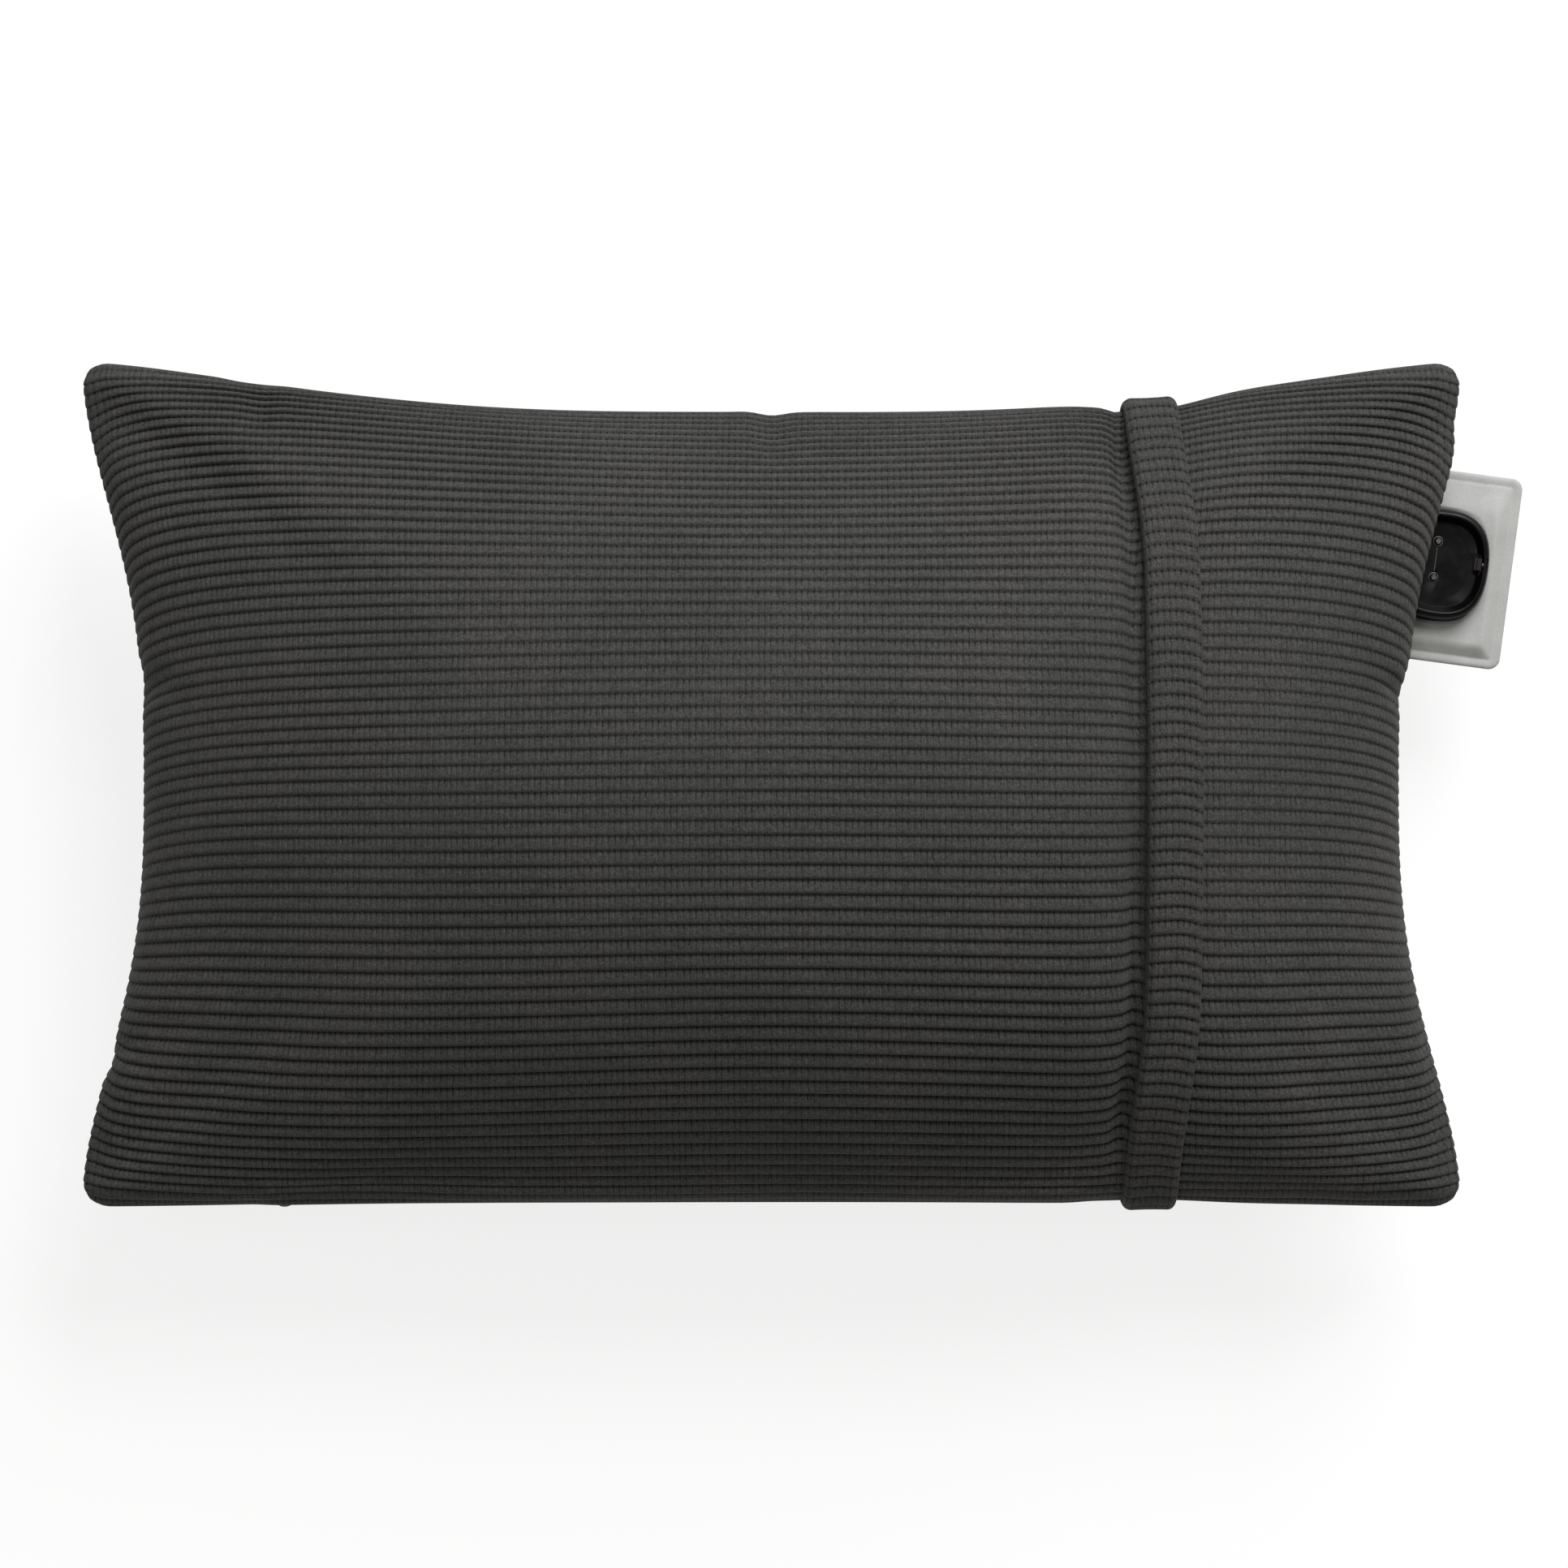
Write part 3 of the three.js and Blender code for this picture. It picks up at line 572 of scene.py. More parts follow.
def fanned(places):
    """Shifts the ribs' places between the side seams, where they are even along the seams."""
    b = np.linspace(-1, 1, CELLS[1] + 1)
    to_side = (1 - np.abs(np.linspace(-1, 1, CELLS[0] + 1))) * HALF_FLAT
    near_side = (1 - np.exp(-to_side / FAN_REACH)) * smoothstep(to_side, *FAN_FADE)
    inward = 1 - to_side / to_side.max()
    arching = ARCH_ENDS * (1 - np.exp(-to_side / ARCH_REACH)) + (1 - ARCH_ENDS) * (1 - inward**2)
    fan = np.sign(b) * np.sin(math.pi * np.abs(b) ** FAN_POWER) * FAN * MM / HALF_WIDTH
    arch = (1 - b * b) * ARCH * MM / HALF_WIDTH
    moved = [field.copy() for field in places]
    for field, source in zip(moved, places):
        for column, (near, share) in enumerate(zip(near_side, arching)):
            field[:, column] = np.interp(b + near * fan + share * arch, b, source[:, column])
    return tuple(moved)


def round_corners(points):
    """Pulls the four corners in to a round outline."""
    x, y = points[..., 0], points[..., 1]
    reach_x = np.clip((np.abs(x) - HALF_LENGTH + CORNER_RADIUS) / CORNER_RADIUS, 0, 1)
    reach_y = np.clip((np.abs(y) - HALF_WIDTH + CORNER_RADIUS) / CORNER_RADIUS, 0, 1)
    in_x = reach_x * (1 - np.sqrt(1 - reach_y**2 / 2)) * CORNER_RADIUS
    in_y = reach_y * (1 - np.sqrt(1 - reach_x**2 / 2)) * CORNER_RADIUS
    rounded = points.copy()
    rounded[..., 0] -= np.sign(x) * in_x
    rounded[..., 1] -= np.sign(y) * in_y
    return rounded


def flat_grid():
    """The panel as it was cut: straight long edges at the ends, fuller across the middle."""
    b, a = np.meshgrid(np.linspace(-1, 1, CELLS[1] + 1), np.linspace(-1, 1, CELLS[0] + 1), indexing="ij")
    width = FLAT_WIDTH_ENDS + (FLAT_WIDTH_MIDDLE - FLAT_WIDTH_ENDS) * (1 - a * a)
    return np.stack([a * FLAT_LENGTH / 2, b * width / 2, np.zeros_like(a)], axis=-1)


CLOTH = {
    "quality": 6,
    "mass": 0.3,
    "tension_stiffness": 10.0,
    "compression_stiffness": 10.0,
    "shear_stiffness": 2.0,
    "bending_stiffness": 0.6,
    "air_damping": 3.0,
    "vertex_group_mass": "seam",
    "pin_stiffness": 1.0,
    "use_pressure": True,
    "uniform_pressure_force": PRESSURE,
}


def add_sewing(pillow, sewn):
    """A shape that draws the seam in over the first frames."""
    pillow.shape_key_add(name="Basis")
    drawn_in = pillow.shape_key_add(name="sewn")
    drawn_in.data.foreach_set("co", sewn.astype(np.float32).ravel())
    for value, frame_number in ((0.0, 1), (1.0, SEWING_FRAMES)):
        drawn_in.value = value
        drawn_in.keyframe_insert("value", frame=frame_number)


def blown_up(pillow):
    """The object's points after the cloth has run."""
    cloth = pillow.modifiers.new("cloth", "CLOTH")
    for key, value in CLOTH.items():
        setattr(cloth.settings, key, value)
    cloth.settings.effector_weights.gravity = 0.0
    cloth.collision_settings.use_collision = False
    cloth.point_cache.frame_start, cloth.point_cache.frame_end = 1, CLOTH_FRAMES
    scene = bpy.context.scene
    for number in range(1, CLOTH_FRAMES + 1):
        scene.frame_set(number)
    points = mesh_points(pillow.evaluated_get(bpy.context.evaluated_depsgraph_get()).data)
    scene.frame_set(1)
    return points


def simulate(front):
    """Blows the two panels up with their seam held on the outline of front, and returns both grids."""
    rows, columns = front.shape[:2]
    on_seam = np.ones((rows, columns), dtype=bool)
    on_seam[1:-1, 1:-1] = False
    numbers = np.arange(rows * columns).reshape(rows, columns)
    behind = numbers.copy()
    behind[~on_seam] = rows * columns + np.arange((~on_seam).sum())
    flat = flat_grid()
    lift = np.zeros_like(flat)
    uneven = 1 + 0.25 * np.sin(37.0 * flat[..., 0] + 11.0 * flat[..., 1])
    lift[..., 2] = START_LIFT * np.where(on_seam, 0.0, uneven)
    start = np.concatenate([(flat + lift).reshape(-1, 3), (flat - lift)[~on_seam]])
    start[:, 2] += SEAM_Z
    sewn = start.copy()
    sewn[numbers[on_seam]] = front[on_seam]
    quads = grid_faces(rows, columns)
    faces = quads + [[int(behind.ravel()[v]) for v in reversed(quad)] for quad in quads]
    mesh = bpy.data.meshes.new("blown")
    mesh.from_pydata(start.tolist(), [], faces)
    pillow = bpy.data.objects.new("blown", mesh)
    bpy.context.scene.collection.objects.link(pillow)
    add_sewing(pillow, sewn)
    seam = pillow.vertex_groups.new(name="seam")
    seam.add([int(v) for v in numbers[on_seam]], 1.0, "REPLACE")
    points = blown_up(pillow)
    bpy.data.objects.remove(pillow)
    return points[numbers], points[behind]


def blurred(field, passes):
    """Smooths a field on the grid and keeps its border."""
    for _ in range(passes):
        middle = field[:-2, 1:-1] + field[2:, 1:-1] + field[1:-1, :-2] + field[1:-1, 2:]
        field = field.copy()
        field[1:-1, 1:-1] = field[1:-1, 1:-1] / 2 + middle / 8
    return field


def wrinkles(blown, plain):
    """What the simulation adds to the formula's skin, without its broad shape."""
    soft = blurred(blown - plain, SOFTEN_PASSES)
    fine = soft - blurred(soft, 2 * WRINKLE_PASSES)
    outward = np.sign(plain[..., :2]) * fine[..., :2] > 0
    fine[..., :2] *= np.where(outward, OUTWARD_SHARE, 1.0)
    return fine


def crease(points, start, end, width, depth):
    """A valley along a line from a point on the seam into the panel, fading out at its inner end."""
    along = np.array(end) - np.array(start)
    length = np.linalg.norm(along)
    along = along / length
    offset = points[..., :2] - np.array(start)
    run = offset @ along
    side = offset[..., 0] * along[1] - offset[..., 1] * along[0]
    fade = smoothstep(run, length, length * 0.25) * smoothstep(run, -30 * MM, -5 * MM)
    spread = width * (0.6 + 0.8 * np.clip(run / length, 0, 1))
    return -depth * np.exp(-((side / spread) ** 2)) * fade


def normals(points, flip=False):
    found = unit(np.cross(np.gradient(points, axis=1), np.gradient(points, axis=0)))
    return -found if flip else found


def cushion_grids():
    """The front and back panels' skin, and how far it lies from the formula's."""
    even = {side: formula_point(side, *even_places(side)) for side in (1, -1)}
    plain = {side: formula_point(side, *PLACES[side]) for side in (1, -1)}
    skins = {side: plain[side].copy() for side in (1, -1)}
    for side, blown in zip((1, -1), simulate(even[1])):
        skins[side] += WRINKLE_SHARE * wrinkles(blown, even[side])
    for side, grid in skins.items():
        squeeze = np.interp(grid[..., 1] / HALF_WIDTH, (-1, -0.6, 0.6), BAND_SQUEEZE)
        from_band = grid[..., 0] - band_middle(grid[..., 1])
        dents = -squeeze * bell(from_band, 5 * MM, 26 * MM) - beside_band(grid, BAND_DENT)
        for line in CREASES:
            dents += crease(grid, *line)
        grid += normals(grid, flip=side < 0) * dents[..., None]
        grid += lip_over_tab(grid)
        skins[side] = rested(grid)
    for edge in (np.s_[0, :], np.s_[-1, :], np.s_[:, 0], np.s_[:, -1]):
        skins[1][edge] = skins[-1][edge] = (skins[1][edge] + skins[-1][edge]) / 2
    return skins, {side: skins[side] - plain[side] for side in (1, -1)}


def lip_over_tab(grid):
    """The tab pushes the cover's edge out a little where it comes out of the seam."""
    to_side = (1 - np.abs(np.linspace(-1, 1, CELLS[0] + 1))) * FLAT_LENGTH / 2
    v = tab_place(grid)[1]
    beside_tab = smoothstep(np.abs(v), TAB_LIP_HALF + 16 * MM, TAB_LIP_HALF)
    push = TAB_LIP * beside_tab * bell(to_side, 0.0, 22 * MM) * (grid[..., 0] > 0)
    return push[..., None] * np.append(TAB_OUT, 0.0)


def rested(grid):
    """Flattens what would go below the floor, with a soft edge round the flat patch."""
    settled = grid.copy()
    z = settled[..., 2]
    settled[..., 2] = (z + np.sqrt(z * z + FLOOR_SOFTNESS**2)) / 2
    return settled


def extended(grid, other):
    """A grid with one more ring of points, taken from the other panel across the seam."""
    rows, columns = grid.shape[:2]
    wide = np.empty((rows + 2, columns + 2, 3))
    wide[1:-1, 1:-1] = grid
    wide[0, 1:-1], wide[-1, 1:-1] = other[1], other[-2]
    wide[1:-1, 0], wide[1:-1, -1] = other[:, 1], other[:, -2]
    wide[0, 0], wide[0, -1] = other[1, 1], other[1, -2]
    wide[-1, 0], wide[-1, -1] = other[-2, 1], other[-2, -2]
    return wide


def curve_through(values, places):
    """Catmull-Rom curve along the first axis of values, which has one spare value at each end."""
    last = values.shape[0] - 4
    base = np.clip(np.floor(places).astype(int), 0, last)
    f = (places - base)[:, None, None]
    weights = (
        (-f + 2 * f**2 - f**3) / 2,
        (2 - 5 * f**2 + 3 * f**3) / 2,
        (f + 4 * f**2 - 3 * f**3) / 2,
        (-(f**2) + f**3) / 2,
    )
    return sum(weight * values[base + k] for k, weight in enumerate(weights))


class Skin:
    """The cushion's smooth skin, without ribs: a point for any place on the front or back panel."""

    def __init__(self, front, back):
        self.wide = {1: extended(front, back), -1: extended(back, front)}

    def patch(self, side, a, b):
        """Points at each b (rows) and a (columns), both from -1 to 1, and the outward normals."""
        across = curve_through(self.wide[side], (np.asarray(b) + 1) / 2 * CELLS[1])
        along = curve_through(np.swapaxes(across, 0, 1), (np.asarray(a) + 1) / 2 * CELLS[0])
        points = np.swapaxes(along, 0, 1)
        upside = (b[-1] > b[0]) == (side > 0)
        return points, normals(points, flip=not upside)


def tab_place(points):
    """How far points lie out of the tab's fold line (u) and along it (v)."""
    offset = points[..., :2] - TAB_FOLD[:2]
    return offset @ TAB_OUT, offset @ TAB_UP


def below_mouth(points, depth):
    """Keeps a layer of the back half clear of the tab and its swing."""
    moved = points.copy()
    u, v = tab_place(moved)
    limit = MOUTH_INNER_Z - depth + (u - MOUTH_INNER_U) * MOUTH_SLOPE
    share = smoothstep(np.abs(v), MOUTH_HALF + MOUTH_TAPER, MOUTH_HALF)
    share = share * smoothstep(u, MOUTH_INNER_U - 22 * MM, MOUTH_INNER_U)
    moved[..., 2] += share * (np.minimum(moved[..., 2], limit) - moved[..., 2])
    return moved


def opened(side, points, b):
    """Makes room in a panel's edge for the zip in the lower seam and for the tab's mouth."""
    moved = points.copy()
    x = moved[..., 0]
    to_lower_edge = (np.asarray(b)[:, None] + 1) * HALF_WIDTH
    near = smoothstep(to_lower_edge, ZIP_SHOULDER, 0.0)
    window = smoothstep(x, ZIP_START, ZIP_START + ZIP_TAPER) * smoothstep(x, ZIP_END, ZIP_END - ZIP_TAPER)
    moved[..., 2] += side * ZIP_HALF_SLIT * near * window
    return below_mouth(moved, 0.0) if side < 0 else moved


def rib_height(turns):
    """Depth of the knit's surface below its crests; turns counts ribs from the upper edge down."""
    phase = turns - np.floor(turns)
    rising = 1 - (1 - np.clip(phase / RIB_CREST, 0, 1)) ** 1.7
    falling = 1 - np.clip((phase - RIB_CREST) / (1 - RIB_CREST), 0, 1) ** 2.4
    return RIB_DEPTH * (np.where(phase < RIB_CREST, rising, falling) - 1)


def layer_grid(side, depth, inset):
    """A layer's grid at a depth below the skin; near the skin it follows the skin's wrinkles."""
    points = formula_point(side, *PLACES[side], inset=inset, depth=depth)
    points = round_corners(points + OFF_FORMULA[side] * max(0.0, 1 - depth / WRINKLE_DEPTH))
    points[..., 2] -= side * beside_band(points, LAYER_DENT) * (points[..., 2] > 15 * MM)
    if side < 0:
        points[..., 2] = np.maximum(points[..., 2], depth)
    return points


def rib_share(to_side, to_long, b):
    """How deep the ribs are, as a share: shallow next to the seams and on the crown."""
    beside_ends = SIDE_RIB_SHARE + (1 - SIDE_RIB_SHARE) * smoothstep(to_side, 0.0, SIDE_RIB_FADE)
    beside_edges = LONG_RIB_SHARE + (1 - LONG_RIB_SHARE) * smoothstep(to_long, *LONG_RIB_FADE)
    slopes = CROWN_RIB_SHARE[0] + np.ptp(CROWN_RIB_SHARE) * smoothstep(np.abs(b), 0.1, 0.7)
    return beside_ends[None, :] * (beside_edges * slopes)[:, None]


def ribbed_grid(side, skin, turns, a):
    """The panel's outer surface: the smooth skin with its ribs, seam and furrows beside the band."""
    b = 1 - 2 * turns / RIBS
    smooth_skin, outward = skin.patch(side, a, b)
    smooth_skin = round_corners(smooth_skin)
    to_side, to_long = (1 - np.abs(a)) * HALF_FLAT, (1 - np.abs(b)) * HALF_WIDTH / MM
    to_edge = np.minimum(to_side[None, :], to_long[:, None])
    seam_dip = -SEAM_DIP * MM * np.exp(-((to_edge / 1.6) ** 2))
    reach = a * HALF_FLAT
    waver = 0.12 * np.sin(reach / 47.0)[None, :] + 0.08 * np.sin(reach / 19.0 + turns[:, None] / 6)
    height = (rib_height(turns)[:, None] * (1 + waver) + RIB_DEPTH / 2) * rib_share(to_side, to_long, b)
    height += seam_dip
    for trough in BAND_TROUGHS:
        height -= beside_band(smooth_skin, trough)
    outer = opened(side, smooth_skin + outward * height[..., None], b)
    outer[..., 2] = np.maximum(outer[..., 2] + side * SEAM_GAP, 0.0)
    return outer


def knit_uv(a, turns):
    """UV places of a panel's grid: stitch columns along it and ribs down it."""
    wales, ribs = np.meshgrid(a * FLAT_LENGTH / 2 / WALE, turns)
    return np.stack([wales.ravel(), ribs.ravel()], axis=1)


def cover_panel(name, node, side, skin):
    """A ribbed cover panel with its smooth lining. Returns its edge on the tab's side."""
    turns = np.append((np.arange(RIBS)[:, None] + np.array(RIB_PHASES)).ravel(), RIBS)
    edge = np.array(EDGE_STEPS)
    inner = np.linspace(-HALF_FLAT + COLUMN_MARGIN, HALF_FLAT - COLUMN_MARGIN, INNER_COLUMNS)
    a = np.concatenate([-HALF_FLAT + edge, inner, (HALF_FLAT - edge)[::-1]]) / HALF_FLAT
    outer = ribbed_grid(side, skin, turns, a)
    lining_a = np.linspace(-1, 1, CELLS[0] + 1)
    lining_b = np.linspace(1, -1, CELLS[1] + 1)
    lining = opened(side, layer_grid(side, COVER_THICK, COVER_THICK + SEAM_DIP * MM)[::-1], lining_b)
    lining[..., 2] = np.maximum(lining[..., 2] + side * SEAM_GAP, COVER_THICK)
    rows, columns = outer.shape[:2]
    lining_rows, lining_columns = lining.shape[:2]
    start = rows * columns
    faces = grid_faces(rows, columns, flip=side > 0)
    faces += grid_faces(lining_rows, lining_columns, start, flip=side < 0)
    outer_rim = border(rows, columns, 2 * turns / RIBS - 1, a)
    lining_rim = border(lining_rows, lining_columns, -lining_b, lining_a, start)
    faces += strip_between(outer_rim, lining_rim)
    uv = np.concatenate([knit_uv(a, turns), knit_uv(lining_a, (1 - lining_b) / 2 * RIBS)])
    vertices = np.concatenate([outer.reshape(-1, 3), lining.reshape(-1, 3)])
    piece = new_object(name, vertices, faces, KNIT, uv=uv)
    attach(piece, "cushion")
    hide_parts(node)
    return outer[:, -1]


# ---------------------------------------------------------------- layers inside the cover

def closed_layer(name, upper, lower, material, uv=None):
    """A closed body between two grids of the same size."""
    rows, columns = upper.shape[:2]
    start = rows * columns
    faces = grid_faces(rows, columns) + grid_faces(rows, columns, start, flip=True)
    places = np.linspace(0, 1, rows), np.linspace(0, 1, columns)
    faces += strip_between(border(rows, columns, *places), border(rows, columns, *places, start))
    vertices = np.concatenate([upper.reshape(-1, 3), lower.reshape(-1, 3)])
    if uv is not None:
        uv = np.concatenate([uv.reshape(-1, 2)] * 2)
    return new_object(name, vertices, faces, material, uv=uv)


def inner_layer(name, node, side, top, thick, material):
    outer = layer_grid(side, top, top + EDGE_SLACK)
    inner = layer_grid(side, top + thick, top + thick + EDGE_SLACK)
    outer[..., 2] += side * SEAM_GAP
    inner[..., 2] += side * SEAM_GAP
    if side < 0:
        outer, inner = below_mouth(outer, top), below_mouth(inner, top + thick)
    piece = closed_layer(name, outer, inner, material)
    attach(piece, "cushion")
    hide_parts(node)
    return piece


# The gusset's way round the inside of the mouth as (u, z) from the back panel's edge to the front's
GUSSET_WAY = ((12.0, 51.2), (3.0, 54.8), (-6.0, 58.2), (-9.3, 61.0), (-9.5, 66.0), (-8.4, 73.0), (-4.0, 76.9))
GUSSET_THICK = 0.8 * MM
GUSSET_STEPS = 6
GUSSET_COLUMNS = 97
GUSSET_HALF = MOUTH_HALF + MOUTH_TAPER + 1 * MM


def add_mouth_gusset(front_edge, back_edge):
    """Knit that closes the tab's mouth: from the back panel's edge, behind the tab, to the front's."""
    v = np.linspace(-GUSSET_HALF, GUSSET_HALF, GUSSET_COLUMNS)
    ends = []
    for edge in (back_edge, front_edge):
        u_edge, v_edge = tab_place(edge)
        order = np.argsort(v_edge)
        u_at, z_at = (np.interp(v, v_edge[order], field[order]) for field in (u_edge, edge[:, 2]))
        ends.append((u_at - 1.6 * MM, z_at))
    (back_u, back_z), (front_u, front_z) = ends
    back_z, front_z = back_z + 1.2 * MM, front_z - 0.7 * MM
    closing = smoothstep(np.abs(v), MOUTH_HALF - 1.5 * MM, GUSSET_HALF)
    way = [(back_u, back_z)]
    for u, z in GUSSET_WAY:
        meet_z = (back_z + front_z) / 2 + (z * MM - 64 * MM) * 0.05
        way.append((u * MM + (front_u - u * MM) * closing, z * MM + (meet_z - z * MM) * closing))
    way.append((front_u, front_z))
    controls = np.array([np.stack([u, z], axis=1) for u, z in way])
    before, after = 2 * controls[:1] - controls[1:2], 2 * controls[-1:] - controls[-2:-1]
    controls = np.concatenate([before, controls, after])
    places = np.linspace(0, len(way) - 1, (len(way) - 1) * GUSSET_STEPS + 1)
    curve = curve_through(controls, places)
    points = tab_world(curve[..., 0], np.broadcast_to(v, curve.shape[:2]), curve[..., 1])
    facing = normals(points) * GUSSET_THICK / 2
    steps = np.linalg.norm(np.diff(points[:, GUSSET_COLUMNS // 2], axis=0), axis=1)
    run = np.concatenate([[0.0], np.cumsum(steps)])
    uv = np.stack(np.broadcast_arrays((v / WALE)[None, :], (run / BAND_RIB)[:, None] + 1), axis=-1)
    gusset = closed_layer("mouth_gusset", points + facing, points - facing, BAND_KNIT, uv=uv)
    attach(gusset, "cushion")


def add_filling():
    cloth = woven_material("casing_fabric", rgb(0.62, 0.61, 0.57))
    for side, name in ((1, "front"), (-1, "back")):
        node = f"casing_{name}"
        inner_layer(f"inner_{node}", node, side, 3.5 * MM, 1.5 * MM, cloth)
    batting = fluffy_material("wadding", rgb(0.80, 0.80, 0.77))
    sheet = inner_layer("wadding_sheet", "wadding_front", 1, 6 * MM, 5 * MM, batting)
    fibre = fluffy_material("fibre_fill", rgb(0.84, 0.84, 0.82))
    top = layer_grid(1, 20 * MM, 28 * MM)
    bottom = below_mouth(layer_grid(-1, 6 * MM, 28 * MM), 6 * MM)
    core = closed_layer("fibre_filling", top, bottom, fibre)
    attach(core, "cushion")
    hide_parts("fibre_core")


# ---------------------------------------------------------------- loop band

BAND_THICK = 5.0 * MM
BAND_CLEARANCE = 0.3 * MM
BAND_RIB = 5.9 * MM
BAND_BOW = -0.4
BAND_SHOULDER = 4.0 * MM
BAND_ARC = 8
BAND_FLAT = 6
BAND_PHASES = (0.0, 0.07, 0.17, 0.3, 0.55, 0.8, 0.92)


def band_section():
    """The band's section: flat top with round shoulders; places across it and heights above the cover."""
    across, height = [], []
    for quarter, radius in ((0, BAND_SHOULDER), (1, BAND_SHOULDER), (2, 1 * MM), (3, 1 * MM)):
        turn = (quarter + np.linspace(0, 1, BAND_ARC)) * math.pi / 2
        side = 1 if quarter in (0, 3) else -1
        level = BAND_THICK - radius if quarter < 2 else radius
        across.extend(side * (BAND_HALF - radius) + radius * np.cos(turn))
        height.extend(level + radius * np.sin(turn))
        if quarter == 0:
            flat = np.linspace(1, -1, BAND_FLAT + 2)[1:-1] * (BAND_HALF - radius)
            across.extend(flat)
            height.extend(np.full(BAND_FLAT, BAND_THICK))
    return np.array(across), np.array(height) + BAND_CLEARANCE


def around_band(skin, across):
    """Skin points and normals round the cushion under the band, a ring for each place across."""
    a = np.linspace(0.3, 0.85, 56)
    up = np.linspace(-1, 1, 241)
    points, outward = [], []
    for side, b in ((1, up), (-1, up[::-1])):
        patch, normal = skin.patch(side, a, b)
        for row, facing in zip(patch[1:-1], normal[1:-1]):
            x = row[:, 0]
            places = band_middle(np.interp(BAND_X, x, row[:, 1])) + across
            for rings, field in ((points, row), (outward, facing)):
                rings.append(np.stack([np.interp(places, x, column) for column in field.T], axis=1))
    return np.array(points), np.array(outward)


def ring_smooth(values, passes):
    for _ in range(passes):
        values = (np.roll(values, 1, axis=0) + 2 * values + np.roll(values, -1, axis=0)) / 4
    return values


def add_band(skin):
    across, height = band_section()
    points, outward = around_band(skin, across)
    outward = unit(ring_smooth(outward, 30))
    points = ring_smooth(points, 8)
    middle = points.mean(axis=1)
    steps = np.linalg.norm(np.roll(middle, -1, axis=0) - middle, axis=1)
    run = np.concatenate([[0.0], np.cumsum(steps)])
    ribs = round(run[-1] / BAND_RIB)
    turns = (np.arange(ribs)[:, None] + np.array(BAND_PHASES)).ravel()
    places = turns / ribs * run[-1]
    looped = [np.concatenate([field, field[:1]]) for field in (points, outward)]
    flat = [field.reshape(len(run), -1) for field in looped]
    ring = [np.stack([np.interp(places, run, column) for column in field.T], axis=1) for field in flat]
    base, facing = (field.reshape(len(turns), len(across), 3) for field in ring)
    facing = unit(facing)
    top_share = smoothstep(height, BAND_CLEARANCE + BAND_THICK * 0.35, BAND_CLEARANCE + BAND_THICK * 0.95)
    bowed = BAND_BOW * (across / BAND_HALF) ** 2 * np.where(across > 0, 1.0, 0.4)
    rib_places = bowed[None, :] - turns[:, None]
    depth = rib_height(rib_places) * (0.12 + 0.6 * top_share[None, :])
    surface = base + facing * (height[None, :] + depth)[..., None]
    surface[..., 2] = np.maximum(surface[..., 2], 1 * MM)
    rows, columns = surface.shape[:2]
    numbers = np.arange(rows * columns).reshape(rows, columns)
    next_row, next_column = np.roll(numbers, -1, axis=0), np.roll(numbers, -1, axis=1)
    corner = np.roll(next_row, -1, axis=1)
    faces = np.stack([numbers, next_column, corner, next_row], axis=-1).reshape(-1, 4).tolist()
    wales = np.broadcast_to((across / WALE)[None, :], (rows, columns))
    uv = np.stack([wales.ravel(), (rib_places + ribs + 1).ravel()], axis=1)
    band = new_object("loop_band", surface.reshape(-1, 3), faces, BAND_KNIT, uv=uv)
    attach(band, "band")
    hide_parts("carry_band")


# ---------------------------------------------------------------- side tab

TAB_REACH = 60 * MM
TAB_ROOT = -4 * MM
TAB_HALF = 42.3 * MM
TAB_CORNER = 5 * MM
TAB_MIDDLE = 63.5 * MM
DOCK_U = 27 * MM
DOCK_HALF_U = 21 * MM
DOCK_HALF_V = 24 * MM
DOCK_POWER = 2.55
FLANGE = 4.4 * MM
SLOPES = {"outer": 6.0 * MM, "upper": 13.0 * MM, "lower": 5.5 * MM}
SLOPE_BLEND = 0.22
FLANGE_THICK = 1.15 * MM
PAD_THICK = 4.0 * MM
FABRIC_THICK = 0.8 * MM
TAB_RIDGE = 0.8 * MM
TAB_INSETS = (0.0, 0.3, 0.8, 2.0, 3.2, 3.8, 4.2, 4.7, 5.3, 6.1, 7.0, 8.2, 9.5)
SIDE_POINTS = 40
CORNER_POINTS = 10
INNER_ROWS = 16
FOAM_RING = 9


def tab_world(u, v, z):
    """Points from the tab's own axes in the part's frame."""
    u, v, z = np.broadcast_arrays(u, v, z)
    plan = TAB_FOLD[:2] + u[..., None] * TAB_OUT + v[..., None] * TAB_UP
    return np.concatenate([plan, z[..., None]], axis=-1)


def tab_outline(inset):
    """The tab's outline, square at its root and round at its two outer corners."""
    radius = max(TAB_CORNER - inset, 1.2 * MM)
    right, half = TAB_REACH - inset, TAB_HALF - inset
    line = np.linspace(0, 1, SIDE_POINTS, endpoint=False)
    turn = np.linspace(0, math.pi / 2, CORNER_POINTS, endpoint=False)
    straight = right - radius - TAB_ROOT
    lower = (TAB_ROOT + line * straight, np.full(SIDE_POINTS, -half))
    lower_corner = (right - radius + radius * np.sin(turn), -half + radius - radius * np.cos(turn))
    outer = (np.full(SIDE_POINTS, right), (2 * line - 1) * (half - radius))
    upper_corner = (right - radius + radius * np.cos(turn), half - radius + radius * np.sin(turn))
    upper = (right - radius - line * straight, np.full(SIDE_POINTS, half))
    root = (np.full(SIDE_POINTS, TAB_ROOT), half - 2 * line * half)
    parts = (lower, lower_corner, outer, upper_corner, upper, root)
    return np.concatenate([np.stack(part, axis=1) for part in parts])


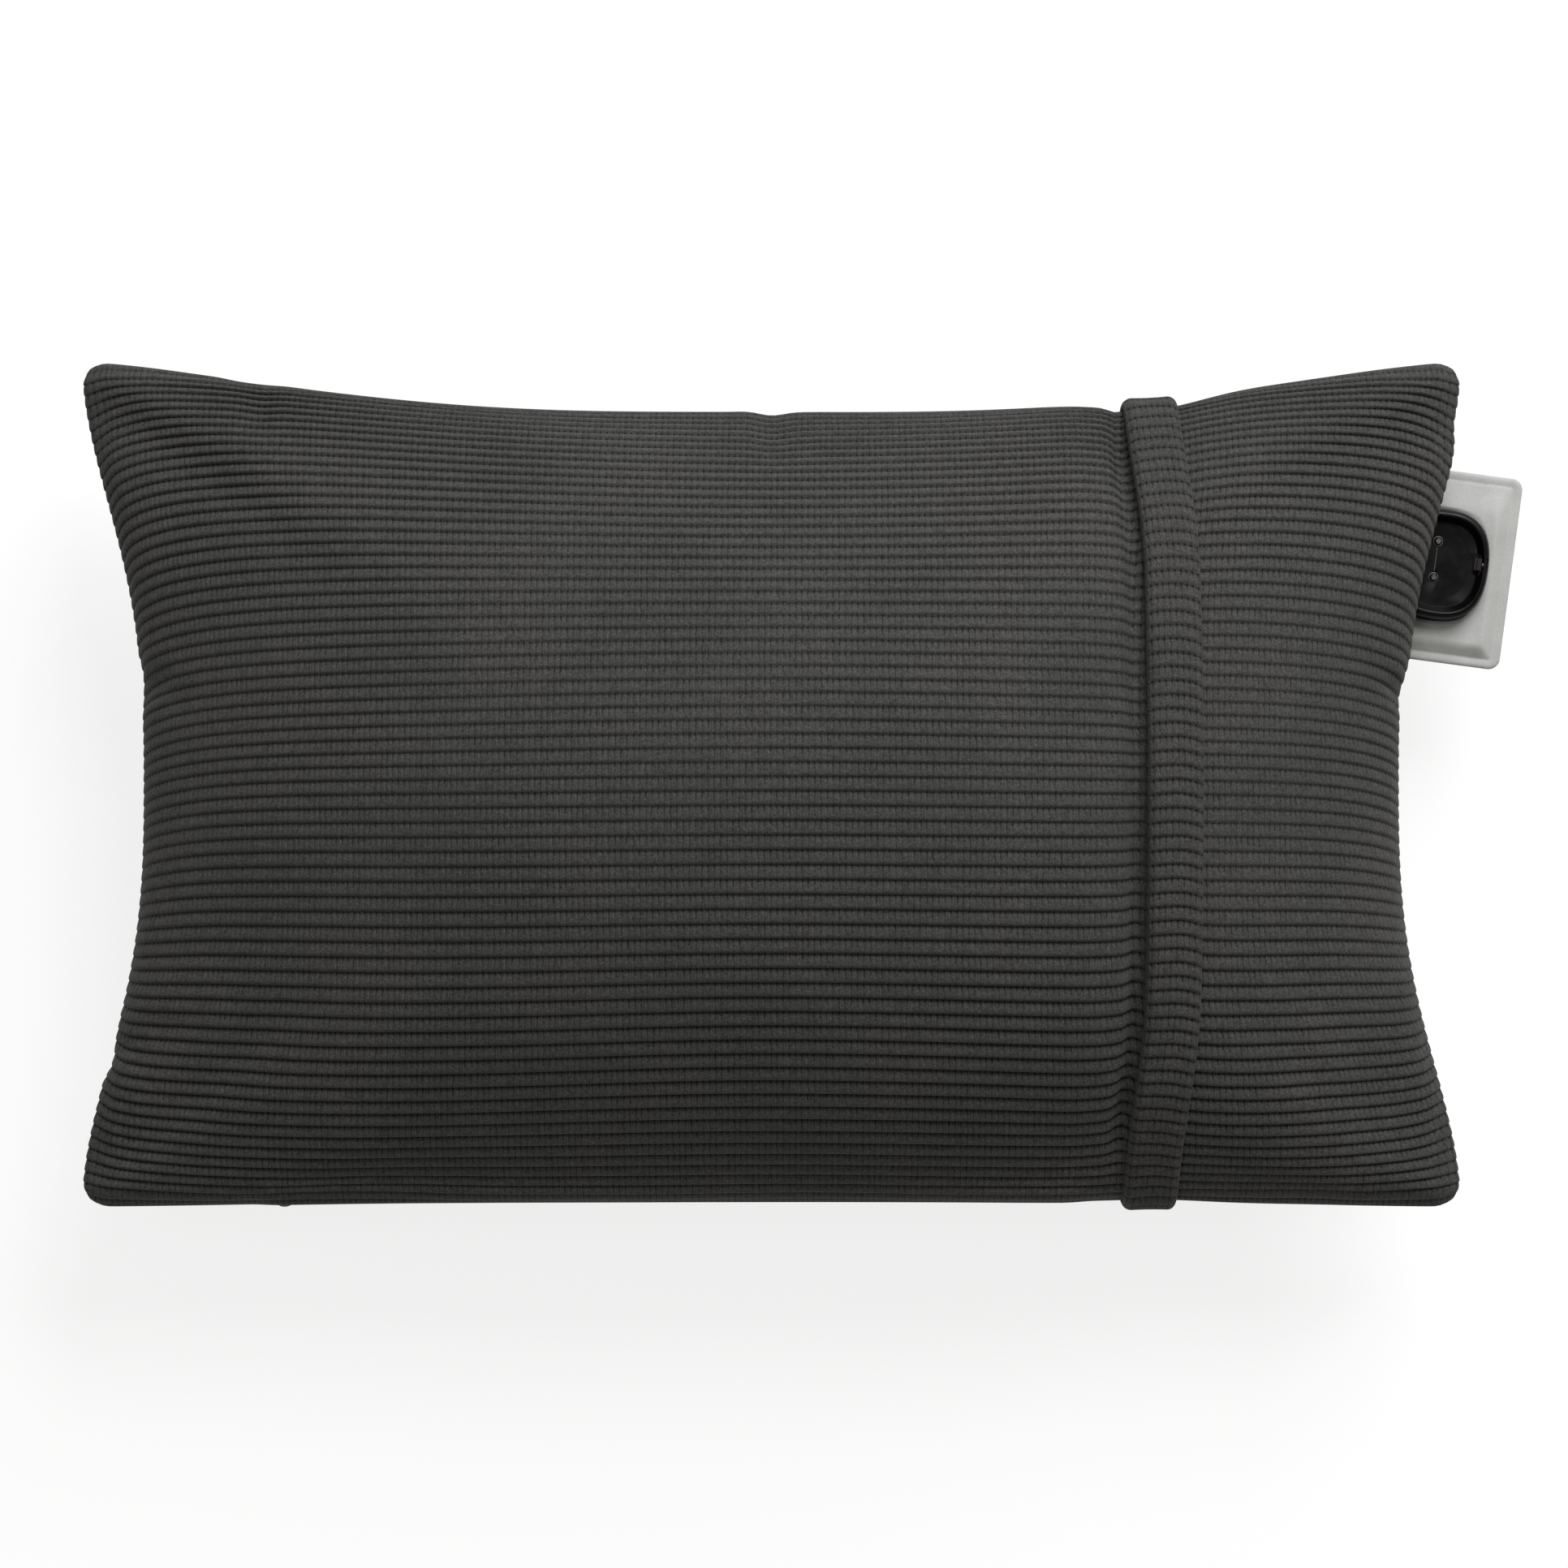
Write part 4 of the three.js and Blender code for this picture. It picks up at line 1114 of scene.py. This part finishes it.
def dock_outline(directions, share):
    """The dock's outline at each direction from its middle, at a share of its full size."""
    cos, sin = np.cos(directions), np.sin(directions)
    spread = (np.abs(cos) ** DOCK_POWER + np.abs(sin) ** DOCK_POWER) ** (-1 / DOCK_POWER)
    return np.stack([DOCK_U + cos * spread * DOCK_HALF_U * share, sin * spread * DOCK_HALF_V * share], axis=1)


def tab_rings(hole):
    """Plan of the tab's rings from its edge in to the dock's hole, or to its middle."""
    rings = [tab_outline(inset * MM) for inset in TAB_INSETS]
    outer = rings[-1]
    heading = outer - np.array([DOCK_U, 0.0])
    directions = np.arctan2(heading[:, 1] / DOCK_HALF_V, heading[:, 0] / DOCK_HALF_U)
    inner = dock_outline(directions, hole)
    for k in range(1, INNER_ROWS + 1):
        share = k / INNER_ROWS
        rings.append(outer + (inner - outer) * share)
    return np.array(rings)


def pad_rise(plan):
    """How far a place on the tab is up the slope from the flange onto the pad, from 0 to 1."""
    u, v = plan[..., 0], plan[..., 1]
    climbs = (
        (TAB_REACH - u - FLANGE) / SLOPES["outer"],
        (TAB_HALF - v - FLANGE) / SLOPES["upper"],
        (TAB_HALF + v - FLANGE) / SLOPES["lower"],
    )
    least = -SLOPE_BLEND * np.log(sum(np.exp(-climb / SLOPE_BLEND) for climb in climbs))
    return smoothstep(least, -0.15, 1.0)


def pad_height(plan, depth_in):
    """Height of a tab panel above the middle plane; depth_in is the distance from the edge."""
    rise = pad_rise(plan)
    pad = FLANGE_THICK + (PAD_THICK - FLANGE_THICK) * rise
    edge = np.sqrt(np.clip(depth_in / (0.8 * MM), 0.08, 1))
    stitched = 0.35 * MM * bell(depth_in, 3.9 * MM, 0.7 * MM)
    u, v = plan[..., 0], plan[..., 1]
    ridge = TAB_RIDGE * bell(TAB_REACH - u, 9.5 * MM, 3.0 * MM) * rise
    uneven = 0.25 * MM * np.sin(u * 150 + 1.3) * np.sin(v * 120 + 0.4) * rise
    return pad * edge - stitched + ridge + uneven


def tab_panel(name, node, side, material):
    rings = tab_rings(1.02 if side > 0 else 0.02)
    insets = np.array(TAB_INSETS) * MM
    u, v = rings[..., 0], rings[..., 1]
    depth_in = np.minimum(TAB_REACH - u, TAB_HALF - np.abs(v))
    edge_rings = np.s_[:len(insets)]
    at_root = u[edge_rings] < TAB_ROOT + 0.1 * MM
    depth_in[edge_rings] = np.where(at_root, depth_in[edge_rings], insets[:, None])
    height = pad_height(rings, np.maximum(depth_in, 0))
    if side > 0:
        tuck = 0.9 * MM * smoothstep(np.arange(len(rings)), len(rings) - 4, len(rings) - 1)
        height = height - tuck[:, None]
    lining = np.maximum(height - FABRIC_THICK, 0.2 * MM)
    height = np.maximum(height, 0.35 * MM)
    outer = tab_world(u, v, TAB_MIDDLE + side * height)
    inner = tab_world(u, v, TAB_MIDDLE + side * lining)
    piece = new_object(name, *sleeve_shape(outer, inner), material)
    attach(piece, "tab")
    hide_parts(node)


def add_tab_foam():
    """The foam between the tab's panels, with a hole for the dock's housing."""
    rings = tab_rings(1.05)[FOAM_RING:]
    depth_in = np.minimum(TAB_REACH - rings[..., 0], TAB_HALF - np.abs(rings[..., 1]))
    depth_in = np.minimum(depth_in, rings[..., 0] - TAB_ROOT + FLANGE)
    thick = pad_height(rings, np.maximum(depth_in, FLANGE)) - FABRIC_THICK - 0.5 * MM
    thick = np.clip(thick, 0.15 * MM, None)
    thick[-3:] = np.minimum(thick[-3:], 1.6 * MM)
    upper = tab_world(rings[..., 0], rings[..., 1], TAB_MIDDLE + thick)
    lower = tab_world(rings[..., 0], rings[..., 1], TAB_MIDDLE - thick)
    material = fluffy_material("foam", rgb(0.72, 0.69, 0.58))
    foam = new_object("tab_padding", *sleeve_shape(upper, lower), material)
    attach(foam, "tab")
    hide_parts("tab_foam")


# ---------------------------------------------------------------- battery dock

DOCK_STEPS = 160
DOCK_FLOOR = 71.5 * MM
CONTACT_U = -2 * MM
CONTACT_V = 2 * MM
CONTACT_SPACING = 8 * MM
SHELF = (0.60, 0.775)
SHELF_RISE = 0.95 * MM
SHELF_TURN = 0.95
DOCK_CHANNEL = (  # the channel, its foot and the latch's slot, as for dock_block
    ((10.0, -2.6, 73.2), (17.7, 6.6, 80.0)),
    ((11.4, -2.6, 71.53), (16.4, 6.6, 80.0)),
    ((17.0, -1.1, 73.2), (20.0, 5.1, 76.75)),
)
LEAD_NOTCH = ((-24.0, -7.6, 63.0), (-14.0, -4.4, 66.95))
SCREW_U, SCREW_V = 14.6 * MM, 17.6 * MM


def dock_profile():
    """The housing's section from its floor out and under: share of full size, height, shelf share.

    The shelf is the gentle slope between the floor and the wall at the outer side.
    """
    profile = [(0.0, DOCK_FLOOR, 0.0), (0.3, DOCK_FLOOR, 0.0), (SHELF[0] - 0.015, DOCK_FLOOR, 0.0)]
    for t in np.linspace(0, 1, 6):
        profile.append((SHELF[0] + (SHELF[1] - SHELF[0]) * t, DOCK_FLOOR, t))
    for t in np.linspace(0, 1, 9)[1:]:
        share = SHELF[1] + (0.866 - SHELF[1]) * t
        profile.append((share, DOCK_FLOOR + (0.35 * t + 0.65 * t**1.5) * 5.05 * MM, 1 - t))
    rim = [(0.876, 76.8), (0.888, 76.96), (0.903, 77.0), (0.92, 76.94), (0.94, 76.7)]
    rim += [(0.965, 76.2), (0.985, 75.5), (0.997, 74.8), (1.0, 74.1), (1.0, 70.0), (1.0, 64.9), (0.99, 64.3)]
    under = [(0.82, 64.3), (0.8, 64.5), (0.8, 70.1), (0.78, 70.3), (0.4, 70.3), (0.0, 70.3)]
    return profile + [(share, height * MM, 0.0) for share, height in rim + under]


def dock_body():
    directions = np.linspace(0, 2 * math.pi, DOCK_STEPS, endpoint=False)
    profile = dock_profile()
    off_axis = np.minimum(directions, 2 * math.pi - directions)
    shelf = SHELF_RISE * smoothstep(off_axis, SHELF_TURN + 0.35, SHELF_TURN - 0.1)
    rings = [dock_outline(directions, share) for share, _, _ in profile[1:-1]]
    heights = [height + share * shelf for _, height, share in profile[1:-1]]
    local = np.array([np.column_stack([ring, z]) for ring, z in zip(rings, heights)])
    numbers = np.arange(local.shape[0] * DOCK_STEPS).reshape(-1, DOCK_STEPS)
    faces = ring_faces(numbers)
    vertices = local.reshape(-1, 3).tolist()
    for row, (_, height, _) in ((0, profile[0]), (-1, profile[-1])):
        hub = len(vertices)
        vertices.append((DOCK_U, 0.0, height))
        loop = numbers[row]
        faces += [(int(loop[k]), int(loop[(k + 1) % DOCK_STEPS]), hub) for k in range(DOCK_STEPS)]
    return vertices, faces


def local_to_world(obj):
    world = tab_world(*mesh_points(obj.data).T)
    obj.data.vertices.foreach_set("co", world.astype(np.float32).ravel())
    obj.data.update()


def block(low, high):
    """Vertices and faces of a box, for cutting."""
    (x0, y0, z0), (x1, y1, z1) = low, high
    vertices = [(x, y, z) for z in (z0, z1) for y in (y0, y1) for x in (x0, x1)]
    faces = [(0, 2, 3, 1), (4, 5, 7, 6), (0, 1, 5, 4), (2, 6, 7, 3), (0, 4, 6, 2), (1, 3, 7, 5)]
    return vertices, faces


def rod(u, v, radius, low, high, steps=32):
    turn = np.linspace(0, 2 * math.pi, steps, endpoint=False)
    x, y = u + radius * np.cos(turn), v + radius * np.sin(turn)
    return tube_shape(np.array([np.column_stack([x, y, np.full(steps, z)]) for z in (low, high)]))


def apply_modifiers(obj):
    made = bpy.data.meshes.new_from_object(obj.evaluated_get(bpy.context.evaluated_depsgraph_get()))
    obj.modifiers.clear()
    obj.data = made


def combine(obj, operation, vertices, faces, use_self=False):
    """Cuts a shape out of an object's mesh, or adds it."""
    other = new_object("other", vertices, faces, obj.data.materials[0], smooth=False)
    modifier = obj.modifiers.new("combine", "BOOLEAN")
    modifier.operation = operation
    modifier.solver = "EXACT"
    modifier.use_self = use_self
    modifier.object = other
    apply_modifiers(obj)
    bpy.data.objects.remove(other)


def soften(obj, width, angle=35.0):
    """Rounds the edges that turn by more than angle degrees a little and smooths the rest."""
    bevel = obj.modifiers.new("edges", "BEVEL")
    bevel.width = width
    bevel.segments = 2
    bevel.limit_method = "ANGLE"
    bevel.angle_limit = math.radians(angle)
    bevel.harden_normals = False
    apply_modifiers(obj)
    shape = bmesh.new()
    shape.from_mesh(obj.data)
    for face in shape.faces:
        face.smooth = True
    for edge in shape.edges:
        edge.smooth = edge.is_manifold and edge.calc_face_angle(0.0) < math.radians(angle)
    shape.to_mesh(obj.data)
    shape.free()


def dock_block(low, high):
    """A block to cut out of the dock, its corners in mm: from the dock's middle, along it and up."""
    return block(*((DOCK_U + u * MM, v * MM, z * MM) for u, v, z in (low, high)))


def add_dock():
    gloss = plastic_material("dock_plastic", rgb(0.0016, 0.0016, 0.0018), 0.36, specular=0.15)
    dock = new_object("battery_dock", *dock_body(), gloss)
    contacts = [CONTACT_V + CONTACT_SPACING, CONTACT_V - CONTACT_SPACING]
    cuts = [dock_block(*corners) for corners in DOCK_CHANNEL]
    cuts += [rod(DOCK_U + CONTACT_U, v, 1.9 * MM, 70 * MM, 72 * MM) for v in contacts]
    for u in (-SCREW_U, SCREW_U):
        cuts += [rod(DOCK_U + u, v, 1.3 * MM, 63 * MM, 68.8 * MM) for v in (-SCREW_V, SCREW_V)]
    cuts.append(dock_block(*LEAD_NOTCH))
    combine(dock, "DIFFERENCE", *merged(cuts), use_self=True)
    soften(dock, 0.22 * MM, 40.0)
    local_to_world(dock)
    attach(dock, "tab")
    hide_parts("dock_housing")


def torus(u, v, z, radius, thick, steps=40, sides=8):
    """Vertices and faces of a ring that lies flat."""
    around = np.linspace(0, 2 * math.pi, steps, endpoint=False)[:, None]
    tube = np.linspace(0, 2 * math.pi, sides, endpoint=False)[None, :]
    reach = radius + thick * np.cos(tube)
    x, y = u + reach * np.cos(around), v + reach * np.sin(around)
    height = np.broadcast_to(z + thick * np.sin(tube), x.shape)
    vertices = np.stack([x, y, height], axis=-1).reshape(-1, 3)
    numbers = np.arange(steps * sides).reshape(steps, sides)
    return vertices, ring_faces(np.vstack([numbers, numbers[:1]]))


def ridge(start, end, z, half, height, steps=24, arc=9):
    """A low round-topped rib on a floor, tapering to nothing at both ends."""
    along = np.linspace(0, 1, steps)
    size = np.sqrt(np.clip(1 - (2 * along - 1) ** 8, 0.02, 1))
    turn = np.linspace(0, math.pi, arc)
    centre = np.array(start) + along[:, None] * (np.array(end) - np.array(start))
    heading = unit(np.array(end) - np.array(start))
    across = np.array([-heading[1], heading[0]])
    offset = np.cos(turn)[None, :, None] * half * size[:, None, None] * across
    plan = centre[:, None, :] + offset
    level = z + np.sin(turn)[None, :] * height * size[:, None]
    base = np.where(np.arange(arc + 2) < arc, 0.0, -0.2 * MM)
    plan = np.concatenate([plan, plan[:, -1:], plan[:, :1]], axis=1)
    level = np.concatenate([level, level[:, -1:], level[:, :1]], axis=1) + base
    rings = np.concatenate([plan, level[..., None]], axis=-1)
    return tube_shape(rings)


def add_contact_collars():
    """Rings round the two contacts and the low rib that joins them."""
    u = DOCK_U + CONTACT_U
    places = (CONTACT_V - CONTACT_SPACING, CONTACT_V + CONTACT_SPACING)
    shapes = [torus(u, v, DOCK_FLOOR, 2.0 * MM, 0.32 * MM) for v in places]
    rib_from, rib_to = (u, places[0] + 2.6 * MM), (u, places[1] - 2.6 * MM)
    shapes.append(ridge(rib_from, rib_to, DOCK_FLOOR, 0.3 * MM, 0.2 * MM))
    collars = new_object("contact_collars", *merged(shapes), DULL_METAL)
    local_to_world(collars)
    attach(collars, "tab")


LEAD_V = -6 * MM


def swept(path, radius, sides=8, hint=(0.31, -0.87, 0.38)):
    """Vertices and faces of a round bar along a path; its first side is square to the hint."""
    path = np.array(path)
    ahead = unit(np.gradient(path, axis=0))
    aside = unit(np.cross(ahead, hint))
    above = np.cross(ahead, aside)
    turn = np.linspace(0, 2 * math.pi, sides, endpoint=False)[None, :, None]
    ring = np.cos(turn) * aside[:, None] + np.sin(turn) * above[:, None]
    return tube_shape(path[:, None] + radius * ring)


def add_coil_spring(name, node, start, end, radius, wire, turns, material):
    """A wound wire spring from start to end in the tab's axes."""
    start, end = tab_world(*start), tab_world(*end)
    axis = unit(end - start)
    first = unit(np.cross(axis, (0.2, 0.9, 0.35)))
    second = np.cross(axis, first)
    share = np.linspace(0, 1, 20 * turns + 1)[:, None]
    angle = 2 * math.pi * turns * share
    inset = wire / np.linalg.norm(end - start)
    along = start + (inset + (1 - 2 * inset) * share) * (end - start)
    path = along + radius * (np.cos(angle) * first + np.sin(angle) * second)
    spring = new_object(name, *swept(path, wire), material)
    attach(spring, "tab")
    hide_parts(node)
    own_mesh(spring)


def add_springs(material):
    for place, side in (("upper", 1), ("lower", -1)):
        u, v = DOCK_U + CONTACT_U, CONTACT_V + side * CONTACT_SPACING
        add_coil_spring(f"contact_coil_{place}", f"contact_spring_{place}", (u, v, 66.1 * MM),
                        (u, v, 68.6 * MM), 1.75 * MM, 0.16 * MM, 5, material)
    add_coil_spring("latch_coil", "latch_spring", (DOCK_U + 19.7 * MM, CONTACT_V, 75 * MM),
                    (DOCK_U + 17.7 * MM, CONTACT_V, 75 * MM), 0.85 * MM, 0.12 * MM, 4,
                    material)


def add_lead(material):
    """The lead from the dock to the splice, crossing the tab's fold line."""
    in_tab = [(DOCK_U - 13.4 * MM, 65.35 * MM), (DOCK_U - 22 * MM, 65.35 * MM), (TAB_ROOT + 5 * MM, 64.2 * MM),
              (TAB_ROOT, 63.5 * MM), (TAB_ROOT - 6 * MM, 63.5 * MM)]
    bends = [tab_world(u, LEAD_V, z) for u, z in in_tab]
    bends += [np.array((242, 93, 66)) * MM, np.array((228, 90, 73)) * MM]
    bends = np.array([2 * bends[0] - bends[1], *bends, 2 * bends[-1] - bends[-2]])
    path = curve_through(bends[:, None], np.linspace(0, len(bends) - 3, 61))[:, 0]
    lead = new_object("lead_sleeve", *swept(path, 1.0 * MM, 12), material)
    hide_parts("lead_cable")
    tuple(tab_world(-5 * MM, LEAD_V, 63.5 * MM))
    tuple(tab_world(3 * MM, LEAD_V, 63.5 * MM))
    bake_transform(lead)


# ---------------------------------------------------------------- zip

COIL_PITCH = 1.6 * MM
COIL_WIRE = 0.28 * MM
COIL_SIDES = 5
COIL_TURN = 12
coil_low, coil_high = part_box("zip_coil_front")
ZIP_Y = (coil_low.y + coil_high.y) / 2


def zip_coil(name, node, side, material):
    """A coil of zip teeth: one wire wound along the zip, meeting the other side's half a pitch on."""
    turns = int((coil_high.x - coil_low.x - COIL_PITCH) / COIL_PITCH)
    along = np.arange(turns * COIL_TURN + 1) / COIL_TURN
    angle = 2 * math.pi * along
    inner, outer = 0.35 * MM, 2.55 * MM
    z = SEAM_Z + side * ((outer + inner) * (0.5 - 0.5 * np.cos(angle)) - inner)
    y = ZIP_Y + 0.88 * MM * np.sin(angle)
    shift = 0.0 if side > 0 else COIL_PITCH / 2
    x = coil_low.x + 0.4 * MM + shift + along * COIL_PITCH
    wire = swept(np.stack([x, y, z], axis=1), COIL_WIRE, COIL_SIDES, (1.0, 0.0, 0.0))
    coil = new_object(name, *wire, material)
    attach(coil, "cushion")
    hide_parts(node)


def plate(outline, low, high):
    """A flat plate with the given outline in x and z, from y = low to y = high."""
    count = len(outline)
    vertices = [(x, low, z) for x, z in outline] + [(x, high, z) for x, z in outline]
    faces = [(k, (k + 1) % count, count + (k + 1) % count, count + k) for k in range(count)]
    faces += [tuple(range(count))[::-1], tuple(range(count, 2 * count))]
    return vertices, faces


def rounded_outline(start, half_widths, radius, steps=6):
    """An outline in x and z with rounded corners, the same on both sides of the seam.

    Each half width is a pair in mm: how far along from start, and how wide there.
    """
    upper = [np.array([start + along * MM, SEAM_Z + half * MM]) for along, half in half_widths]
    lower = [np.array([start + along * MM, SEAM_Z - half * MM]) for along, half in half_widths]
    points = lower[:1] + upper + lower[:0:-1]
    outline = []
    for k, corner in enumerate(points):
        before, after = points[k - 1], points[(k + 1) % len(points)]
        first = corner + unit(before - corner) * radius
        last = corner + unit(after - corner) * radius
        for t in np.linspace(0, 1, steps):
            outline.append(tuple((1 - t) ** 2 * first + 2 * t * (1 - t) * corner + t * t * last))
    return outline


def bar_along(path, half_z, half_y):
    """A bar of rectangular section swept along a path in x and y."""
    path = np.array(path)
    ahead = unit(np.gradient(path, axis=0))
    aside = np.stack([-ahead[:, 1], ahead[:, 0]], axis=1) * half_y
    corners = []
    for s, t in ((1, -1), (1, 1), (-1, 1), (-1, -1)):
        corners.append(np.column_stack([path + s * aside, np.full(len(path), SEAM_Z + t * half_z)]))
    return tube_shape(np.stack(corners, axis=1))


def fused(name, shapes, material, width, rides, node):
    """One object made of overlapping closed shapes, with its edges softened."""
    obj = new_object(name, *shapes[0], material, smooth=False)
    for shape in shapes[1:]:
        combine(obj, "UNION", *shape)
    soften(obj, width)
    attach(obj, rides)
    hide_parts(node)
    return obj


def add_zip_slider(metal):
    """The slider: two plates on a post, with a bridge that holds the pull."""
    low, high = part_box("zip_slider")
    outline = rounded_outline(low.x, [(0.0, 2.6), (5.0, 4.5), ((high.x - low.x) / MM, 4.5)], 1.1 * MM)
    post = rounded_outline(low.x, [(0.3, 1.2), (2.4, 0.7)], 0.3 * MM)
    front, back = ZIP_Y - 3.6 * MM, high.y
    shapes = [plate(outline, front, front + 1.5 * MM), plate(outline, back - 1.5 * MM, back)]
    shapes.append(plate(post, front + 0.5 * MM, back - 0.5 * MM))
    foot = front + 0.4 * MM
    rise = low.y + 0.5 * MM - foot
    turn = np.linspace(0.0, math.pi, 15)
    bridge = [(low.x + 5.5 * MM - 3.4 * MM * math.cos(t), foot + rise * math.sin(t) ** 0.6) for t in turn]
    shapes.append(bar_along(bridge, 1.3 * MM, 0.5 * MM))
    fused("zip_slider_body", shapes, metal, 0.25 * MM, "slider", "zip_slider")


def add_zip_pull(metal):
    """The pull: a waisted plate with a window for the bridge and a hollow for the thumb."""
    low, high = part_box("zip_pull")
    length = (high.x - low.x) / MM
    half_widths = [(0.0, 3.3), (6.0, 3.3), (10.0, 2.1), (length - 5.0, 2.805), (length, 2.805)]
    body = plate(rounded_outline(low.x, half_widths, 1.2 * MM), low.y, high.y)
    window = rounded_outline(low.x, [(1.3, 1.9), (5.4, 1.9)], 0.8 * MM)
    hollow = rounded_outline(low.x, [(length - 5.2, 1.2), (length - 1.8, 1.2)], 0.8 * MM)
    pull = new_object("zip_pull_tab", *body, metal, smooth=False)
    cuts = [plate(window, low.y - 1 * MM, high.y + 1 * MM)]
    cuts.append(plate(hollow, low.y - 1 * MM, (low.y + high.y) / 2 - 0.3 * MM))
    combine(pull, "DIFFERENCE", *merged(cuts), use_self=True)
    soften(pull, 0.25 * MM)
    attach(pull, "pull")
    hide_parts("zip_pull")


def add_zip():
    tape = woven_material("zip_tape", rgb(0.018, 0.018, 0.018), scale=2200.0, depth=0.1 * MM)
    finish_nodes(tape, "zip_tape_front", "zip_tape_back")
    nylon = plastic_material("zip_coil", rgb(0.02, 0.02, 0.021), 0.4)
    zip_coil("coil_teeth_front", "zip_coil_front", 1, nylon)
    zip_coil("coil_teeth_back", "zip_coil_back", -1, nylon)
    metal = metal_material("zip_metal", rgb(0.16, 0.16, 0.165), 0.38)
    finish_nodes(metal, "zip_closed_stop", "zip_open_stop")
    add_zip_slider(metal)
    add_zip_pull(metal)


# ---------------------------------------------------------------- CAD nodes that stay

def finish_nodes(material, *names):
    for name in names:
        node = frame["nodes"][name]
        if not node.data.materials:
            node.data.materials.append(material)
        for place in node.material_slots:
            place.material = material


def dress_nodes():
    steel = metal_material("steel", rgb(0.56, 0.56, 0.57), 0.32)
    lead = plastic_material("lead_jacket", rgb(0.02, 0.02, 0.02), 0.5)
    for material, *names in (
        (steel, "dock_screw_1", "dock_screw_2", "dock_screw_3", "dock_screw_4"),
        (DULL_METAL, "contact_pin_upper", "contact_pin_lower"),
        (plastic_material("latch_plastic", rgb(0.009, 0.005, 0.004), 0.4, specular=0.25), "latch_button"),
        (plastic_material("circuit_board", rgb(0.02, 0.11, 0.045), 0.4), "circuit_board"),
        (plastic_material("inner_plastic", rgb(0.02, 0.02, 0.021), 0.5), "dock_back_plate"),
        (woven_material("heating_mat", rgb(0.35, 0.35, 0.34), scale=900.0), "heating_mat"),
        (plastic_material("heating_wire", rgb(0.25, 0.035, 0.02), 0.4), "heating_wire"),
        (lead, "lead_splice"),
        (metal_material("cutout_case", rgb(0.45, 0.45, 0.46), 0.4), "thermal_cutout"),
    ):
        finish_nodes(material, *names)
    add_springs(steel)
    add_lead(lead)


add_camera()
add_studio()
KNIT = knit_material("rib_knit", rgb(0.0430, 0.0415, 0.0405), rgb(0.0370, 0.0385, 0.0345), ribs=RIBS)
BAND_KNIT = knit_material("band_knit", rgb(0.0405, 0.039, 0.038), rgb(0.0345, 0.036, 0.032), sheen=0.02)
DULL_METAL = metal_material("contact_metal", rgb(0.10, 0.095, 0.09), 0.45)
TAB_CLOTH = woven_material("tab_fabric", rgb(0.37, 0.37, 0.36), scale=1800.0, depth=0.08 * MM)
PLACES = {side: fanned(even_places(side)) for side in (1, -1)}
skins, OFF_FORMULA = cushion_grids()
skin = Skin(skins[1], skins[-1])
front_edge = cover_panel("front_cover", "cover_front", 1, skin)
back_edge = cover_panel("back_cover", "cover_back", -1, skin)
add_mouth_gusset(front_edge, back_edge)
add_band(skin)
tab_panel("tab_front", "tab_front_panel", 1, TAB_CLOTH)
tab_panel("tab_back", "tab_back_panel", -1, TAB_CLOTH)
finish_nodes(TAB_CLOTH, "tab_root_strip_upper", "tab_root_strip_lower")
add_tab_foam()
add_dock()
add_contact_collars()
add_zip()
add_filling()
dress_nodes()
